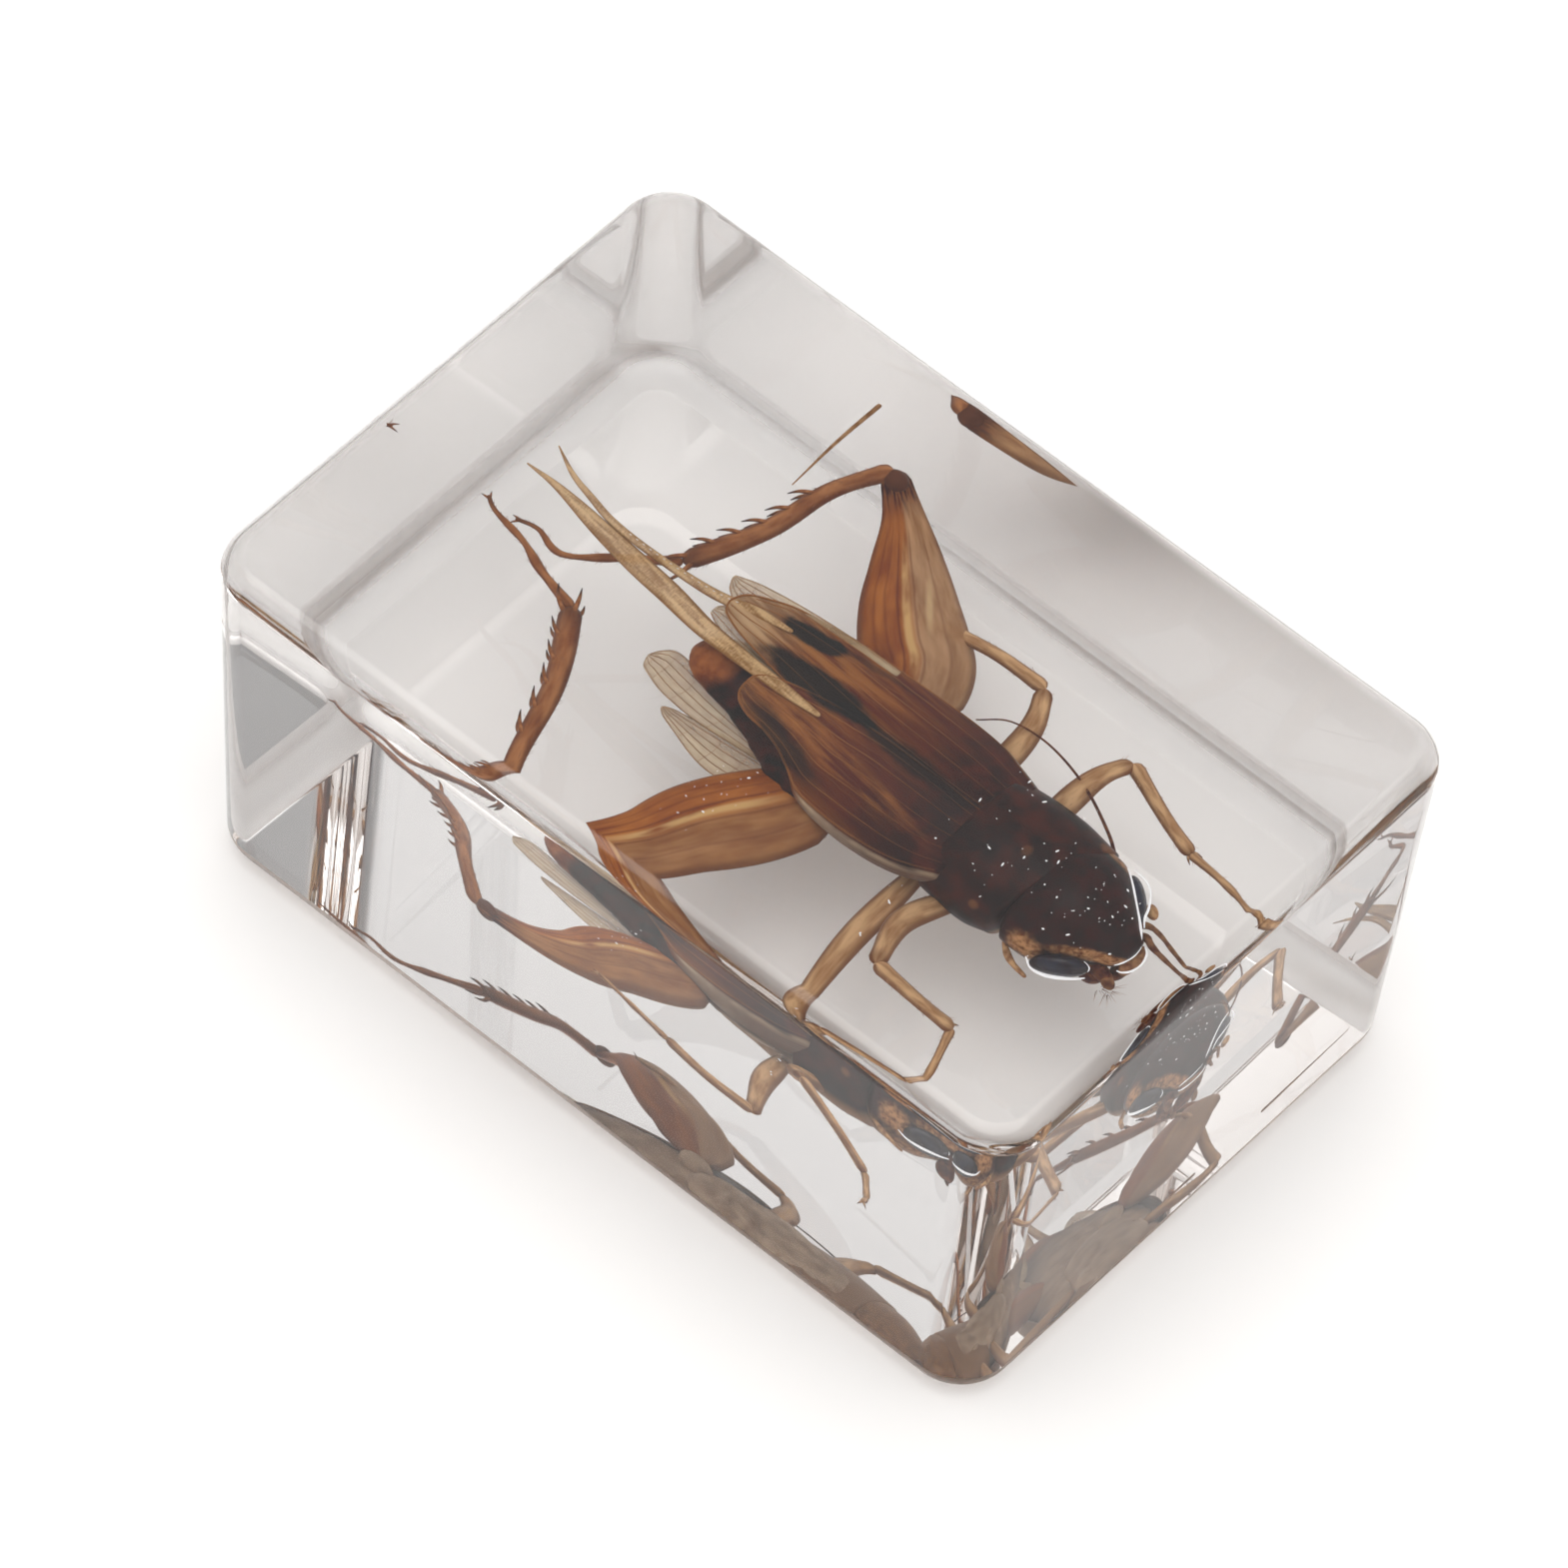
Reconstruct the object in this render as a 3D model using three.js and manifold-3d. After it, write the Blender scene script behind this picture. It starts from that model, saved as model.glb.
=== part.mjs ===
// A field cricket cast in a block of clear resin.
//
// Millimetres, +Z up. The origin is the centre of the block's base. +X runs along the block towards the
// cricket's head and +Y is the cricket's left side. The clear block is parted in two halves around a
// pocket that follows the cricket, and a loose cercus floats in a slot above the left hind leg.

import * as THREE from 'three';
import { mergeVertices } from 'three/addons/utils/BufferGeometryUtils.js';
import Module from 'manifold-3d';

const wasm = await Module();
wasm.setup();

// ---- Driving dimensions: the block ----

const BLOCK_LENGTH = 45; // along X, at the top
const BLOCK_WIDTH = 30; // along Y, at the top
const BLOCK_HEIGHT = 20;
const MOULD_DRAFT = 0.7; // each wall leans in by this much from the top to the base
const CORNER_RADIUS = 2.2; // of the upright corners
const EDGE_BEVEL = 0.7; // along the rims of the top and the base
const PARTING_HEIGHT = 10.333; // where the two halves meet
const POCKET_GAP = 0.52; // clear space all round what is cast in

// ---- Driving dimensions: the cricket ----

// The cricket and the pocket are laid out in a frame of their own and set in the block at this scale
// and place.
const CAST_SCALE = 0.974;
const CAST_SHIFT = [0.377, -0.224, 1.08];

const BODY_AXIS_Y = 1.1; // the body lies a little to the left of the block's middle
const BODY_HEIGHT = 8.1; // of the middle of the thorax
const HEAD_LENGTH = 5.2;
const HEAD_HALF_WIDTH = 3.45;
const HEAD_HALF_HEIGHT = 2.75;
const NECK_X = 12.1; // where the head meets the pronotum
const PRONOTUM_LENGTH = 4.9;
const PRONOTUM_HALF_WIDTH = 3.75;
const PRONOTUM_HALF_HEIGHT = 2.7;
const ABDOMEN_TIP_X = -7.9;
const ABDOMEN_HALF_WIDTH = 3.8;
const ABDOMEN_HALF_HEIGHT = 2.4;
const WING_THICKNESS = 0.5;
const WING_CROWN = 10.45; // height of the folded forewings along the back
const WING_ARCH = 0.085; // how fast they fall away to the sides, per mm²
const EYE_RADII = [0.95, 0.6, 1.05];

// Wings laid over the body: [x, right edge y, left edge y], from rear to front.
const LEFT_FOREWING = [
  [-8.6, 3.2, 4.0], [-7.0, 1.8, 4.3], [-4.0, 0.9, 4.9], [0, 0.4, 5.2], [4, 0.3, 5.4], [8.4, 0.5, 5.0],
];
const RIGHT_FOREWING = [
  [-3.9, -1.0, 0], [-3, -1.7, 0.8], [0.6, -2.9, 1.4], [4.9, -3.1, 1.4], [8.4, -2.7, 1.4],
];
const UPPER_LOBE = [[-8.9, -1.6, -0.9], [-7.8, -2.3, 0], [-5.0, -3.0, -0.4], [-1.2, -3.4, -1.0]];
const UPPER_LOBE_HEIGHT = 7.6;
const LOWER_LOBE = [[-6.6, -3.5, -3.0], [-4.7, -3.9, -2.2], [-2.9, -4.0, -1.6], [-0.6, -3.8, -1.4]];
const LOWER_LOBE_HEIGHT = 7.2;

// The rolled hind wings, which trail behind the body as two tails.
const RIGHT_TAIL = {
  path: [[-19.3, 2.1, 10], [-16.9, 1.5, 10], [-14.1, 1.1, 10], [-8.5, 0.1, 10], [-2.9, -1.0, 10.2]],
  widths: [0.08, 0.5, 0.72, 0.7, 0.6],
  heights: [0.08, 0.22, 0.3, 0.3, 0.3],
};
const LEFT_TAIL = {
  path: [[-18.6, 3.6, 10], [-14.2, 2.3, 10], [-9.2, 2.1, 10.05], [-5.5, 2.4, 10.15]],
  widths: [0.06, 0.25, 0.4, 0.5],
  heights: [0.06, 0.15, 0.25, 0.3],
};

const LEFT_ANTENNA = {
  path: [[16.5, 2.3, 8.8], [18.0, 1.8, 9.1], [19.7, 0.9, 9.7]],
  girth: [0.2, 0.17, 0.14],
};
const LEFT_PALP = {
  path: [[16.6, 1.5, 8.2], [18.2, 1.2, 8.9], [20.0, 1.1, 9.6]],
  girth: [0.24, 0.2, 0.14],
};
const RIGHT_PALP = {
  path: [[13.9, -0.8, 7.3], [13.3, -3.1, 6.5], [13.9, -3.8, 6.0]],
  girth: [0.3, 0.22, 0.14],
};
const CERCUS_RADIUS = 0.12;

// Half widths of the leg segments, from the body end to the foot end, and their height over width.
const GIRTHS = {
  hindFemur: { widths: [0.9, 1.75, 2.15, 1.8, 1.05, 0.62, 0.6], aspect: 0.5 },
  hindTibia: { widths: [0.42, 0.45, 0.5, 0.52, 0.55], aspect: 0.85 },
  hindTarsus: { widths: [0.32, 0.24, 0.2, 0.16, 0.12], aspect: 0.9 },
  walkingFemur: { widths: [0.6, 0.75, 0.7, 0.5], aspect: 0.7 },
  walkingTibia: { widths: [0.42, 0.36, 0.34, 0.36], aspect: 0.85 },
  walkingTarsus: { widths: [0.22, 0.18, 0.16, 0.1], aspect: 0.9 },
};

// The joints of each leg in its set position: hip, knee, ankle and claw, with the bends between them.
const LEGS = [
  { // right hind
    segments: ['hindFemur', 'hindTibia', 'hindTarsus'],
    femur: [[1.6, -1.0, 6.5], [-0.7, -3.4, 6.3], [-2.6, -5.6, 6.3], [-4.6, -8.7, 6.8], [-7.3, -13.0, 8.5]],
    tibia: [[-7.3, -13.0, 8.5], [-8.9, -10.3, 9.3], [-10.7, -5.6, 8.4], [-13.3, -1.5, 7.0]],
    tarsus: [[-13.3, -1.5, 7.0], [-15.7, -0.6, 6.7], [-17.4, 0.1, 6.6], [-19.8, 0.7, 6.6]],
  },
  { // left hind
    segments: ['hindFemur', 'hindTibia', 'hindTarsus'],
    femur: [[1.4, 3.2, 6.5], [-0.2, 6.0, 6.4], [-1.9, 8.6, 6.7], [-4.1, 10.8, 7.6], [-7.35, 13.0, 10.1]],
    tibia: [[-7.35, 13.0, 10.1], [-9.0, 10.7, 8.6], [-9.9, 7.6, 7.4], [-11.7, 4.1, 6.2]],
    tarsus: [[-11.7, 4.1, 6.2], [-13.5, 2.3, 6.4], [-15.4, 0.8, 6.5], [-17.6, 0.5, 6.6], [-18.6, 0.3, 6.6]],
  },
  { // right middle
    segments: ['walkingFemur', 'walkingTibia', 'walkingTarsus'],
    femur: [[6.9, -1.4, 6.4], [7.4, -6.8, 7.3], [8.5, -12.3, 8.15]],
    tibia: [[8.5, -12.3, 8.15], [5.8, -12.3, 8.2], [3.5, -12.3, 8.7]],
    tarsus: [[3.5, -12.3, 8.7], [1.5, -12.3, 9.2], [-0.5, -12.3, 9.7]],
  },
  { // left middle
    segments: ['walkingFemur', 'walkingTibia', 'walkingTarsus'],
    femur: [[5.9, 3.6, 6.6], [5.7, 7.2, 7.5], [4.8, 9.3, 8.0]],
    tibia: [[4.8, 9.3, 8.0], [2.0, 9.4, 7.6], [-0.8, 9.4, 6.4]],
    tarsus: [[-0.8, 9.4, 6.4], [-2.4, 9.0, 5.6], [-3.8, 8.4, 5.4]],
  },
  { // right front
    segments: ['walkingFemur', 'walkingTibia', 'walkingTarsus'],
    femur: [[9.2, -1.2, 6.6], [8.6, -4.6, 8.3], [9.7, -7.8, 10.3]],
    tibia: [[9.7, -7.8, 10.3], [11.8, -7.3, 8.2], [13.3, -6.7, 6.2]],
    tarsus: [[13.3, -6.7, 6.2], [14.2, -9.3, 6.3], [14.6, -11.4, 7.0]],
  },
  { // left front
    segments: ['walkingFemur', 'walkingTibia', 'walkingTarsus'],
    femur: [[9.3, 3.4, 6.9], [9.5, 7.0, 7.8], [10.2, 8.9, 7.95]],
    tibia: [[10.2, 8.9, 7.95], [12.8, 8.1, 6.7], [14.7, 7.7, 5.8]],
    tarsus: [[14.7, 7.7, 5.8], [17.4, 6.9, 7.4], [20.1, 5.6, 9.4]],
  },
];

const SPINES_PER_ROW = 5; // two rows stand along the back of each hind tibia
const SPINE_LENGTH = 1.1;
const SPUR_LENGTHS = [1.9, 1.5, 1.1]; // the spurs round the hind ankle
const SPINE_RADIUS = 0.16;
const SPINE_ROOM = 0.9; // more pocket along the spines
const SPUR_ROOM = [1.8, 1.8, 1.8]; // and round the hind ankles

const UP = new THREE.Vector3(0, 0, 1);

// ---- Helpers ----

// A closed solid from a geometry, its shared corners merged and its collapsed faces dropped.
function solid(geometry) {
  geometry.deleteAttribute('normal');
  geometry.deleteAttribute('uv');
  const merged = mergeVertices(geometry, 1e-4);
  const corners = merged.index.array;
  const faces = [];
  for (let i = 0; i < corners.length; i += 3) {
    const [a, b, c] = corners.slice(i, i + 3);
    if (a !== b && b !== c && c !== a) faces.push(a, b, c);
  }
  const vertProperties = Float32Array.from(merged.attributes.position.array);
  const triVerts = Uint32Array.from(faces);
  return new wasm.Manifold(new wasm.Mesh({ numProp: 3, vertProperties, triVerts }));
}

function union(solids) {
  return solids.reduce((whole, piece) => whole.add(piece));
}

// The main body of a cut solid, without the crumbs that are left between neighbouring cuts.
function largest(shape) {
  return shape.decompose().reduce((best, part) => (part.volume() > best.volume() ? part : best));
}

// Sets a shape that was laid out in the cricket's frame in the block.
function cast(shape) {
  return shape.scale(CAST_SCALE).translate(CAST_SHIFT);
}

// Moves every vertex of a geometry to place(vertex).
function warp(geometry, place) {
  const positions = geometry.attributes.position;
  const vertex = new THREE.Vector3();
  for (let i = 0; i < positions.count; i += 1) {
    const moved = place(vertex.fromBufferAttribute(positions, i));
    positions.setXYZ(i, moved.x, moved.y, moved.z);
  }
  return geometry;
}

function spline(points) {
  return new THREE.CatmullRomCurve3(points.map(([x, y, z = 0]) => new THREE.Vector3(x, y, z)));
}

// How much a coarse polygon is widened, so that its flats stand as clear of the form in it as its corners.
function clearance(sides, growth) {
  return growth ? 1 / Math.cos(Math.PI / sides) : 1;
}

// An oval tube of changing girth along a smooth path. The growth makes the same form a little fatter.
function loft(path, widths, heights, sides, rings, growth = 0) {
  const centre = spline(path);
  const girth = spline(widths.map((width, i) => [width, heights[i]]));
  const widening = clearance(sides, growth);
  const geometry = new THREE.CylinderGeometry(1, 1, 1, sides, rings);
  return warp(geometry, ({ x, y, z }) => {
    const t = 0.5 - y;
    const along = centre.getTangentAt(t);
    const side = UP.clone().cross(along).normalize();
    const over = along.clone().cross(side);
    const { x: halfWidth, y: halfHeight } = girth.getPoint(t);
    return centre.getPointAt(t)
      .addScaledVector(along, growth * (Number(t === 1) - Number(t === 0)))
      .addScaledVector(side, x * widening * (halfWidth + growth))
      .addScaledVector(over, z * widening * (halfHeight + growth));
  });
}

function ball(centre, radii, sides, growth = 0) {
  const geometry = new THREE.SphereGeometry(1, sides, Math.round(sides * 0.6));
  geometry.scale(...radii.map((radius) => clearance(sides, growth) * (radius + growth)));
  return geometry.translate(...centre);
}

// A thin wing lying over the body. Each station is [x, right edge y, left edge y], from rear to front.
function wing(stations, crown, arch, growth = 0) {
  const edges = spline(stations);
  const rearX = stations[0][0];
  const frontX = stations.at(-1)[0];
  const geometry = new THREE.BoxGeometry(1, 1, 1, growth ? 4 : 8, growth ? 3 : 4, 1);
  return warp(geometry, (corner) => {
    const station = edges.getPoint(corner.x + 0.5);
    const stretch = 1 + (2 * growth) / (frontX - rearX);
    const x = (station.x - (rearX + frontX) / 2) * stretch + (rearX + frontX) / 2;
    const y = THREE.MathUtils.lerp(station.y - growth, station.z + growth, corner.y + 0.5);
    const fall = arch * (y - BODY_AXIS_Y) ** 2;
    const rise = corner.z > 0 ? WING_THICKNESS / 2 + growth : -WING_THICKNESS / 2 - 3 * growth;
    return new THREE.Vector3(x, y, crown - fall + rise);
  });
}

// A thorn with its foot a little inside the surface that it grows from.
function thorn(foot, direction, length, radius) {
  const geometry = new THREE.CylinderGeometry(0, radius, length, 3);
  geometry.translate(0, length / 2, 0);
  const turn = new THREE.Quaternion().setFromUnitVectors(new THREE.Vector3(0, 1, 0), direction);
  return geometry.applyQuaternion(turn).translate(foot.x, foot.y, foot.z);
}

// ---- The cricket ----

function bodyForms(growth) {
  const sides = growth ? 8 : 14;
  const at = (x, drop = 0, y = BODY_AXIS_Y) => [x, y, BODY_HEIGHT - drop];
  const head = loft(
    [at(NECK_X + HEAD_LENGTH, 0.9, 0.4), at(16.2, 0.35, 0.7), at(14.4, -0.1, 0.95), at(NECK_X - 0.2, 0)],
    [0.55, 0.8, 1, 0.85].map((part) => part * HEAD_HALF_WIDTH),
    [0.5, 0.82, 1, 0.8].map((part) => part * HEAD_HALF_HEIGHT),
    sides, growth ? 4 : 7, growth,
  );
  const pronotum = loft(
    [at(NECK_X + 0.7), at(NECK_X - 1.5), at(NECK_X - 3.2), at(NECK_X + 0.7 - PRONOTUM_LENGTH - 0.7)],
    [0.9, 1, 0.99, 0.9].map((part) => part * PRONOTUM_HALF_WIDTH),
    [0.9, 1, 0.97, 0.85].map((part) => part * PRONOTUM_HALF_HEIGHT),
    sides, growth ? 3 : 5, growth,
  );
  const abdomen = loft(
    [at(9, 0.1), at(3, 0.2), at(-2, 0.4, 0.9), at(-5.5, 0.5, 0.4), at(ABDOMEN_TIP_X, 0.3, 0.1)],
    [0.85, 1, 0.9, 0.62, 0.22].map((part) => part * ABDOMEN_HALF_WIDTH),
    [0.95, 1, 0.92, 0.7, 0.35].map((part) => part * ABDOMEN_HALF_HEIGHT),
    sides, growth ? 4 : 9, growth,
  );
  const breast = loft(
    [at(12.4, 1.6, 0.8), at(7, 1.9), at(1.5, 1.7)],
    [1.6, 2.5, 1.6],
    [0.9, 1.3, 0.9],
    growth ? 6 : 10, growth ? 2 : 5, growth,
  );
  const wingHinges = ball([6.6, BODY_AXIS_Y, 9.2], [3.0, 2.6, 1.3], growth ? 6 : 10, growth);
  return [head, pronotum, abdomen, breast, wingHinges];
}

function headForms(growth) {
  const face = growth
    ? [ball([15.5, 0.8, 7.7], [2.6, 3.7, 3.1], 8, growth)]
    : [
      ball([15.2, 3.5, 8.8], EYE_RADII, 10),
      ball([14.9, -1.9, 8.6], EYE_RADII, 10),
      ball([17.0, 0.5, 6.4], [0.6, 1.3, 1.2], 8), // the upper lip
      ball([16.9, -0.9, 7.9], [0.6, 0.5, 0.5], 7), // the foot of the right antenna
    ];
  const sides = growth ? 5 : 6;
  const rings = growth ? 2 : 4;
  const mouthAndFeelers = [LEFT_ANTENNA, LEFT_PALP, RIGHT_PALP].map(
    ({ path, girth }) => loft(path, girth, girth, sides, rings, growth),
  );
  return [...face, ...mouthAndFeelers];
}

function wingForms(growth) {
  const sides = growth ? 5 : 8;
  const rings = growth ? 4 : 9;
  return [
    wing(LEFT_FOREWING, WING_CROWN, WING_ARCH, growth),
    wing(RIGHT_FOREWING, WING_CROWN + 0.1, WING_ARCH, growth),
    wing(UPPER_LOBE, UPPER_LOBE_HEIGHT, 0, growth),
    wing(LOWER_LOBE, LOWER_LOBE_HEIGHT, 0, growth),
    ...[RIGHT_TAIL, LEFT_TAIL].map(
      ({ path, widths, heights }) => loft(path, widths, heights, sides, rings, growth),
    ),
  ];
}

// The spines and spurs of a hind tibia, which point towards the foot from its rear side.
function spineForms(path) {
  const curve = spline(path);
  const forms = [];
  const addThorn = (t, lean, length) => {
    const along = curve.getTangentAt(t);
    const rear = along.clone().cross(UP).normalize();
    if (rear.x > 0) rear.negate();
    const outward = rear.clone().multiplyScalar(Math.cos(lean)).addScaledVector(UP, Math.sin(lean));
    const foot = curve.getPointAt(t).addScaledVector(outward, 0.3);
    const direction = outward.clone().addScaledVector(along, 1.5).normalize();
    forms.push(thorn(foot, direction, length, SPINE_RADIUS));
  };
  for (const lean of [-0.5, 0.7]) {
    for (let i = 0; i < SPINES_PER_ROW; i += 1) addThorn(0.36 + 0.12 * i, lean, SPINE_LENGTH);
  }
  SPUR_LENGTHS.forEach((length, i) => addThorn(0.97, i * 1.1 - 0.7, length));
  return forms;
}

function legForms(growth) {
  const forms = [];
  for (const leg of LEGS) {
    [leg.femur, leg.tibia, leg.tarsus].forEach((path, i) => {
      const name = leg.segments[i];
      const { widths, aspect } = GIRTHS[name];
      const room = growth && name === 'hindTibia' ? SPINE_ROOM : 0;
      const girths = widths.map((width, k) => width + room * Math.min(1, 2 * (k / (widths.length - 1))));
      const heights = girths.map((width) => width * aspect);
      const rings = name === 'hindFemur' ? 8 : 5;
      const sides = name === 'hindFemur' ? 10 : 6;
      const coarse = name === 'hindFemur' ? [6, 5] : [5, 3];
      const [faces, steps] = growth ? coarse : [sides, rings];
      forms.push(loft(path, girths, heights, faces, steps, growth));
      if (name === 'hindTibia') {
        const ankle = path.at(-1);
        forms.push(...(growth ? [ball(ankle, SPUR_ROOM, 6, growth)] : spineForms(path)));
      }
    });
  }
  return forms;
}

function cricketForms(growth) {
  return [...bodyForms(growth), ...headForms(growth), ...wingForms(growth), ...legForms(growth)];
}

const cricket = cast(union(cricketForms(0).map(solid)));

// ---- The loose cercus and the slot that it floats in ----

const CERCUS_ROOT = [-8.6, 13.2, 16];
const CERCUS_TIP = [-8.45, 7.1, 16];

const cercusPath = [CERCUS_ROOT, [-8.6, 10.2, 16.05], CERCUS_TIP];
const cercusGirth = [1, 0.7, 0.25].map((part) => part * CERCUS_RADIUS);
const cercus = cast(solid(loft(cercusPath, cercusGirth, cercusGirth, 6, 6)));

function cercusSlot() {
  const bottom = (PARTING_HEIGHT - CAST_SHIFT[2]) / CAST_SCALE;
  const top = CERCUS_ROOT[2] + CERCUS_RADIUS + POCKET_GAP;
  const width = 2 * (CERCUS_RADIUS + POCKET_GAP);
  const length = CERCUS_ROOT[1] - CERCUS_TIP[1] + 2 * POCKET_GAP;
  const depth = top - bottom;
  const geometry = new THREE.BoxGeometry(width, length, depth);
  const middleX = (CERCUS_ROOT[0] + CERCUS_TIP[0]) / 2;
  const middleY = (CERCUS_ROOT[1] + CERCUS_TIP[1]) / 2;
  return solid(geometry.translate(middleX, middleY, bottom + depth / 2));
}

// ---- The resin block ----

function roundedRectangle(length, width, radius) {
  const [x, y] = [length / 2, width / 2];
  const outline = new THREE.Shape();
  outline.moveTo(-x + radius, -y);
  outline.lineTo(x - radius, -y);
  outline.absarc(x - radius, -y + radius, radius, -Math.PI / 2, 0);
  outline.absarc(x - radius, y - radius, radius, 0, Math.PI / 2);
  outline.absarc(-x + radius, y - radius, radius, Math.PI / 2, Math.PI);
  outline.absarc(-x + radius, -y + radius, radius, Math.PI, Math.PI * 1.5);
  return outline;
}

function block() {
  const inset = 2 * EDGE_BEVEL;
  const outline = roundedRectangle(BLOCK_LENGTH - inset, BLOCK_WIDTH - inset, CORNER_RADIUS - EDGE_BEVEL);
  const geometry = new THREE.ExtrudeGeometry(outline, {
    depth: BLOCK_HEIGHT - inset,
    bevelThickness: EDGE_BEVEL,
    bevelSize: EDGE_BEVEL,
    bevelSegments: 2,
    curveSegments: 6,
  });
  geometry.translate(0, 0, EDGE_BEVEL);
  return solid(warp(geometry, (corner) => {
    const lean = MOULD_DRAFT * (1 - corner.z / (BLOCK_HEIGHT - EDGE_BEVEL));
    corner.x *= 1 - (2 * lean) / BLOCK_LENGTH;
    corner.y *= 1 - (2 * lean) / BLOCK_WIDTH;
    return corner;
  }));
}

function slab(bottom, top) {
  const geometry = new THREE.BoxGeometry(2 * BLOCK_LENGTH, 2 * BLOCK_WIDTH, top - bottom);
  return solid(geometry.translate(0, 0, (bottom + top) / 2));
}

const pocket = cast(union(cricketForms(POCKET_GAP).map(solid)).add(cercusSlot()));
const lowerHalf = largest(block().intersect(slab(-1, PARTING_HEIGHT)).subtract(pocket));
const upperHalf = largest(block().intersect(slab(PARTING_HEIGHT, BLOCK_HEIGHT + 1)).subtract(pocket));

// ---- The scene graph ----

function piece(name, shape, material) {
  const { vertProperties, triVerts } = shape.getMesh();
  const geometry = new THREE.BufferGeometry();
  geometry.setAttribute('position', new THREE.BufferAttribute(vertProperties, 3));
  geometry.setIndex(new THREE.BufferAttribute(triVerts, 1));
  const mesh = new THREE.Mesh(geometry, material);
  mesh.name = name;
  return mesh;
}

const resin = new THREE.MeshStandardMaterial({
  color: 0xeeeae6,
  roughness: 0.05,
  transparent: true,
  opacity: 0.25,
});
const shell = new THREE.MeshStandardMaterial({ color: 0x5a3018, roughness: 0.35 });
const paleShell = new THREE.MeshStandardMaterial({ color: 0xa57c4c, roughness: 0.5 });

const group = new THREE.Group();
group.add(piece('resin_lower_half', lowerHalf, resin));
group.add(piece('resin_upper_half', upperHalf, resin));
group.add(piece('cricket', cricket, shell));
group.add(piece('loose_cercus', cercus, paleShell));

export default group;
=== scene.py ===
# A field cricket cast in a block of clear resin, seen from over its right front corner.

import math
import random
from bisect import bisect_left

import bmesh
import bpy
from mathutils import Matrix, Vector
from mathutils.bvhtree import BVHTree
from mathutils.geometry import interpolate_bezier


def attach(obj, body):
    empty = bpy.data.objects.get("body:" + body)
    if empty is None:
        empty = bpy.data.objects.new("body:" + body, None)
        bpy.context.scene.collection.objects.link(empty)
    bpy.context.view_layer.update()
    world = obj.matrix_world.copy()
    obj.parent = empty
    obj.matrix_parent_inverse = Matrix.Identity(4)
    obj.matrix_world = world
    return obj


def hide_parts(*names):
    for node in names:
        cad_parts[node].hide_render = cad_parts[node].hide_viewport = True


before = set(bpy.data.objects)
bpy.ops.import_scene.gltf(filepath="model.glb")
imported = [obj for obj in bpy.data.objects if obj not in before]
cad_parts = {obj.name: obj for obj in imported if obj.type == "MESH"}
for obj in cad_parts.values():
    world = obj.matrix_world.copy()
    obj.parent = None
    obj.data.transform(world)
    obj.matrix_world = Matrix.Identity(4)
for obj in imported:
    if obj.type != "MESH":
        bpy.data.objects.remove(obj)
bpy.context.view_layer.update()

MM = 0.001

# ---- Camera ----
# A long lens stands high over the right front corner of the block and is turned a little clockwise.

CAMERA_AZIMUTH = math.radians(36.117)
CAMERA_ELEVATION = math.radians(53.078)
CAMERA_ROLL = math.radians(6.421)
CAMERA_DISTANCE = 568.26 * MM
CAMERA_LENS = 306.4
SENSOR_WIDTH = 36
AIM = Vector((0, 0, 10)) * MM
AIM_RIGHT = 1.285 * MM
AIM_UP = -0.342 * MM

back = Vector((
    math.sin(CAMERA_AZIMUTH) * math.cos(CAMERA_ELEVATION),
    -math.cos(CAMERA_AZIMUTH) * math.cos(CAMERA_ELEVATION),
    math.sin(CAMERA_ELEVATION),
))
level = Vector((math.cos(CAMERA_AZIMUTH), math.sin(CAMERA_AZIMUTH), 0))
upright = back.cross(level)
right = level * math.cos(CAMERA_ROLL) + upright * math.sin(CAMERA_ROLL)
above = upright * math.cos(CAMERA_ROLL) - level * math.sin(CAMERA_ROLL)
stand = AIM - right * AIM_RIGHT - above * AIM_UP + back * CAMERA_DISTANCE

scene = bpy.context.scene
camera = bpy.data.objects.new("camera", bpy.data.cameras.new("camera"))
camera.data.lens = CAMERA_LENS
camera.data.sensor_width = SENSOR_WIDTH
camera.matrix_world = Matrix((
    (right.x, above.x, back.x, stand.x),
    (right.y, above.y, back.y, stand.y),
    (right.z, above.z, back.z, stand.z),
    (0, 0, 0, 1),
))
scene.collection.objects.link(camera)
scene.camera = camera

# ---- Floor and light ----
# The block stands on a lit white table in an even white room, so that only its own edges show. One
# darker part of the room shows in the facets at the corners, and a wide lamp overhead gives the
# cricket its soft shadow. Light takes many turns inside the block, so a ray may bounce often.

ROOM_WHITE = (1.0, 0.995, 0.99)
ROOM_GREY = (0.36, 0.36, 0.365)
GREY_WAY = (0.354, 0.485, 0.799)
LAMP_WHITE = (4.2, 4.15, 4.05)
LAMP_WAY = (0.0, 0.0, 1.0)
ROOM_STRENGTH = 0.775
TABLE_WHITE = (0.8, 0.79, 0.785, 1)
TABLE_GLOW = 0.135
TABLE_SIZE = 0.6
TABLE_DROP = 0.05 * MM


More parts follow.
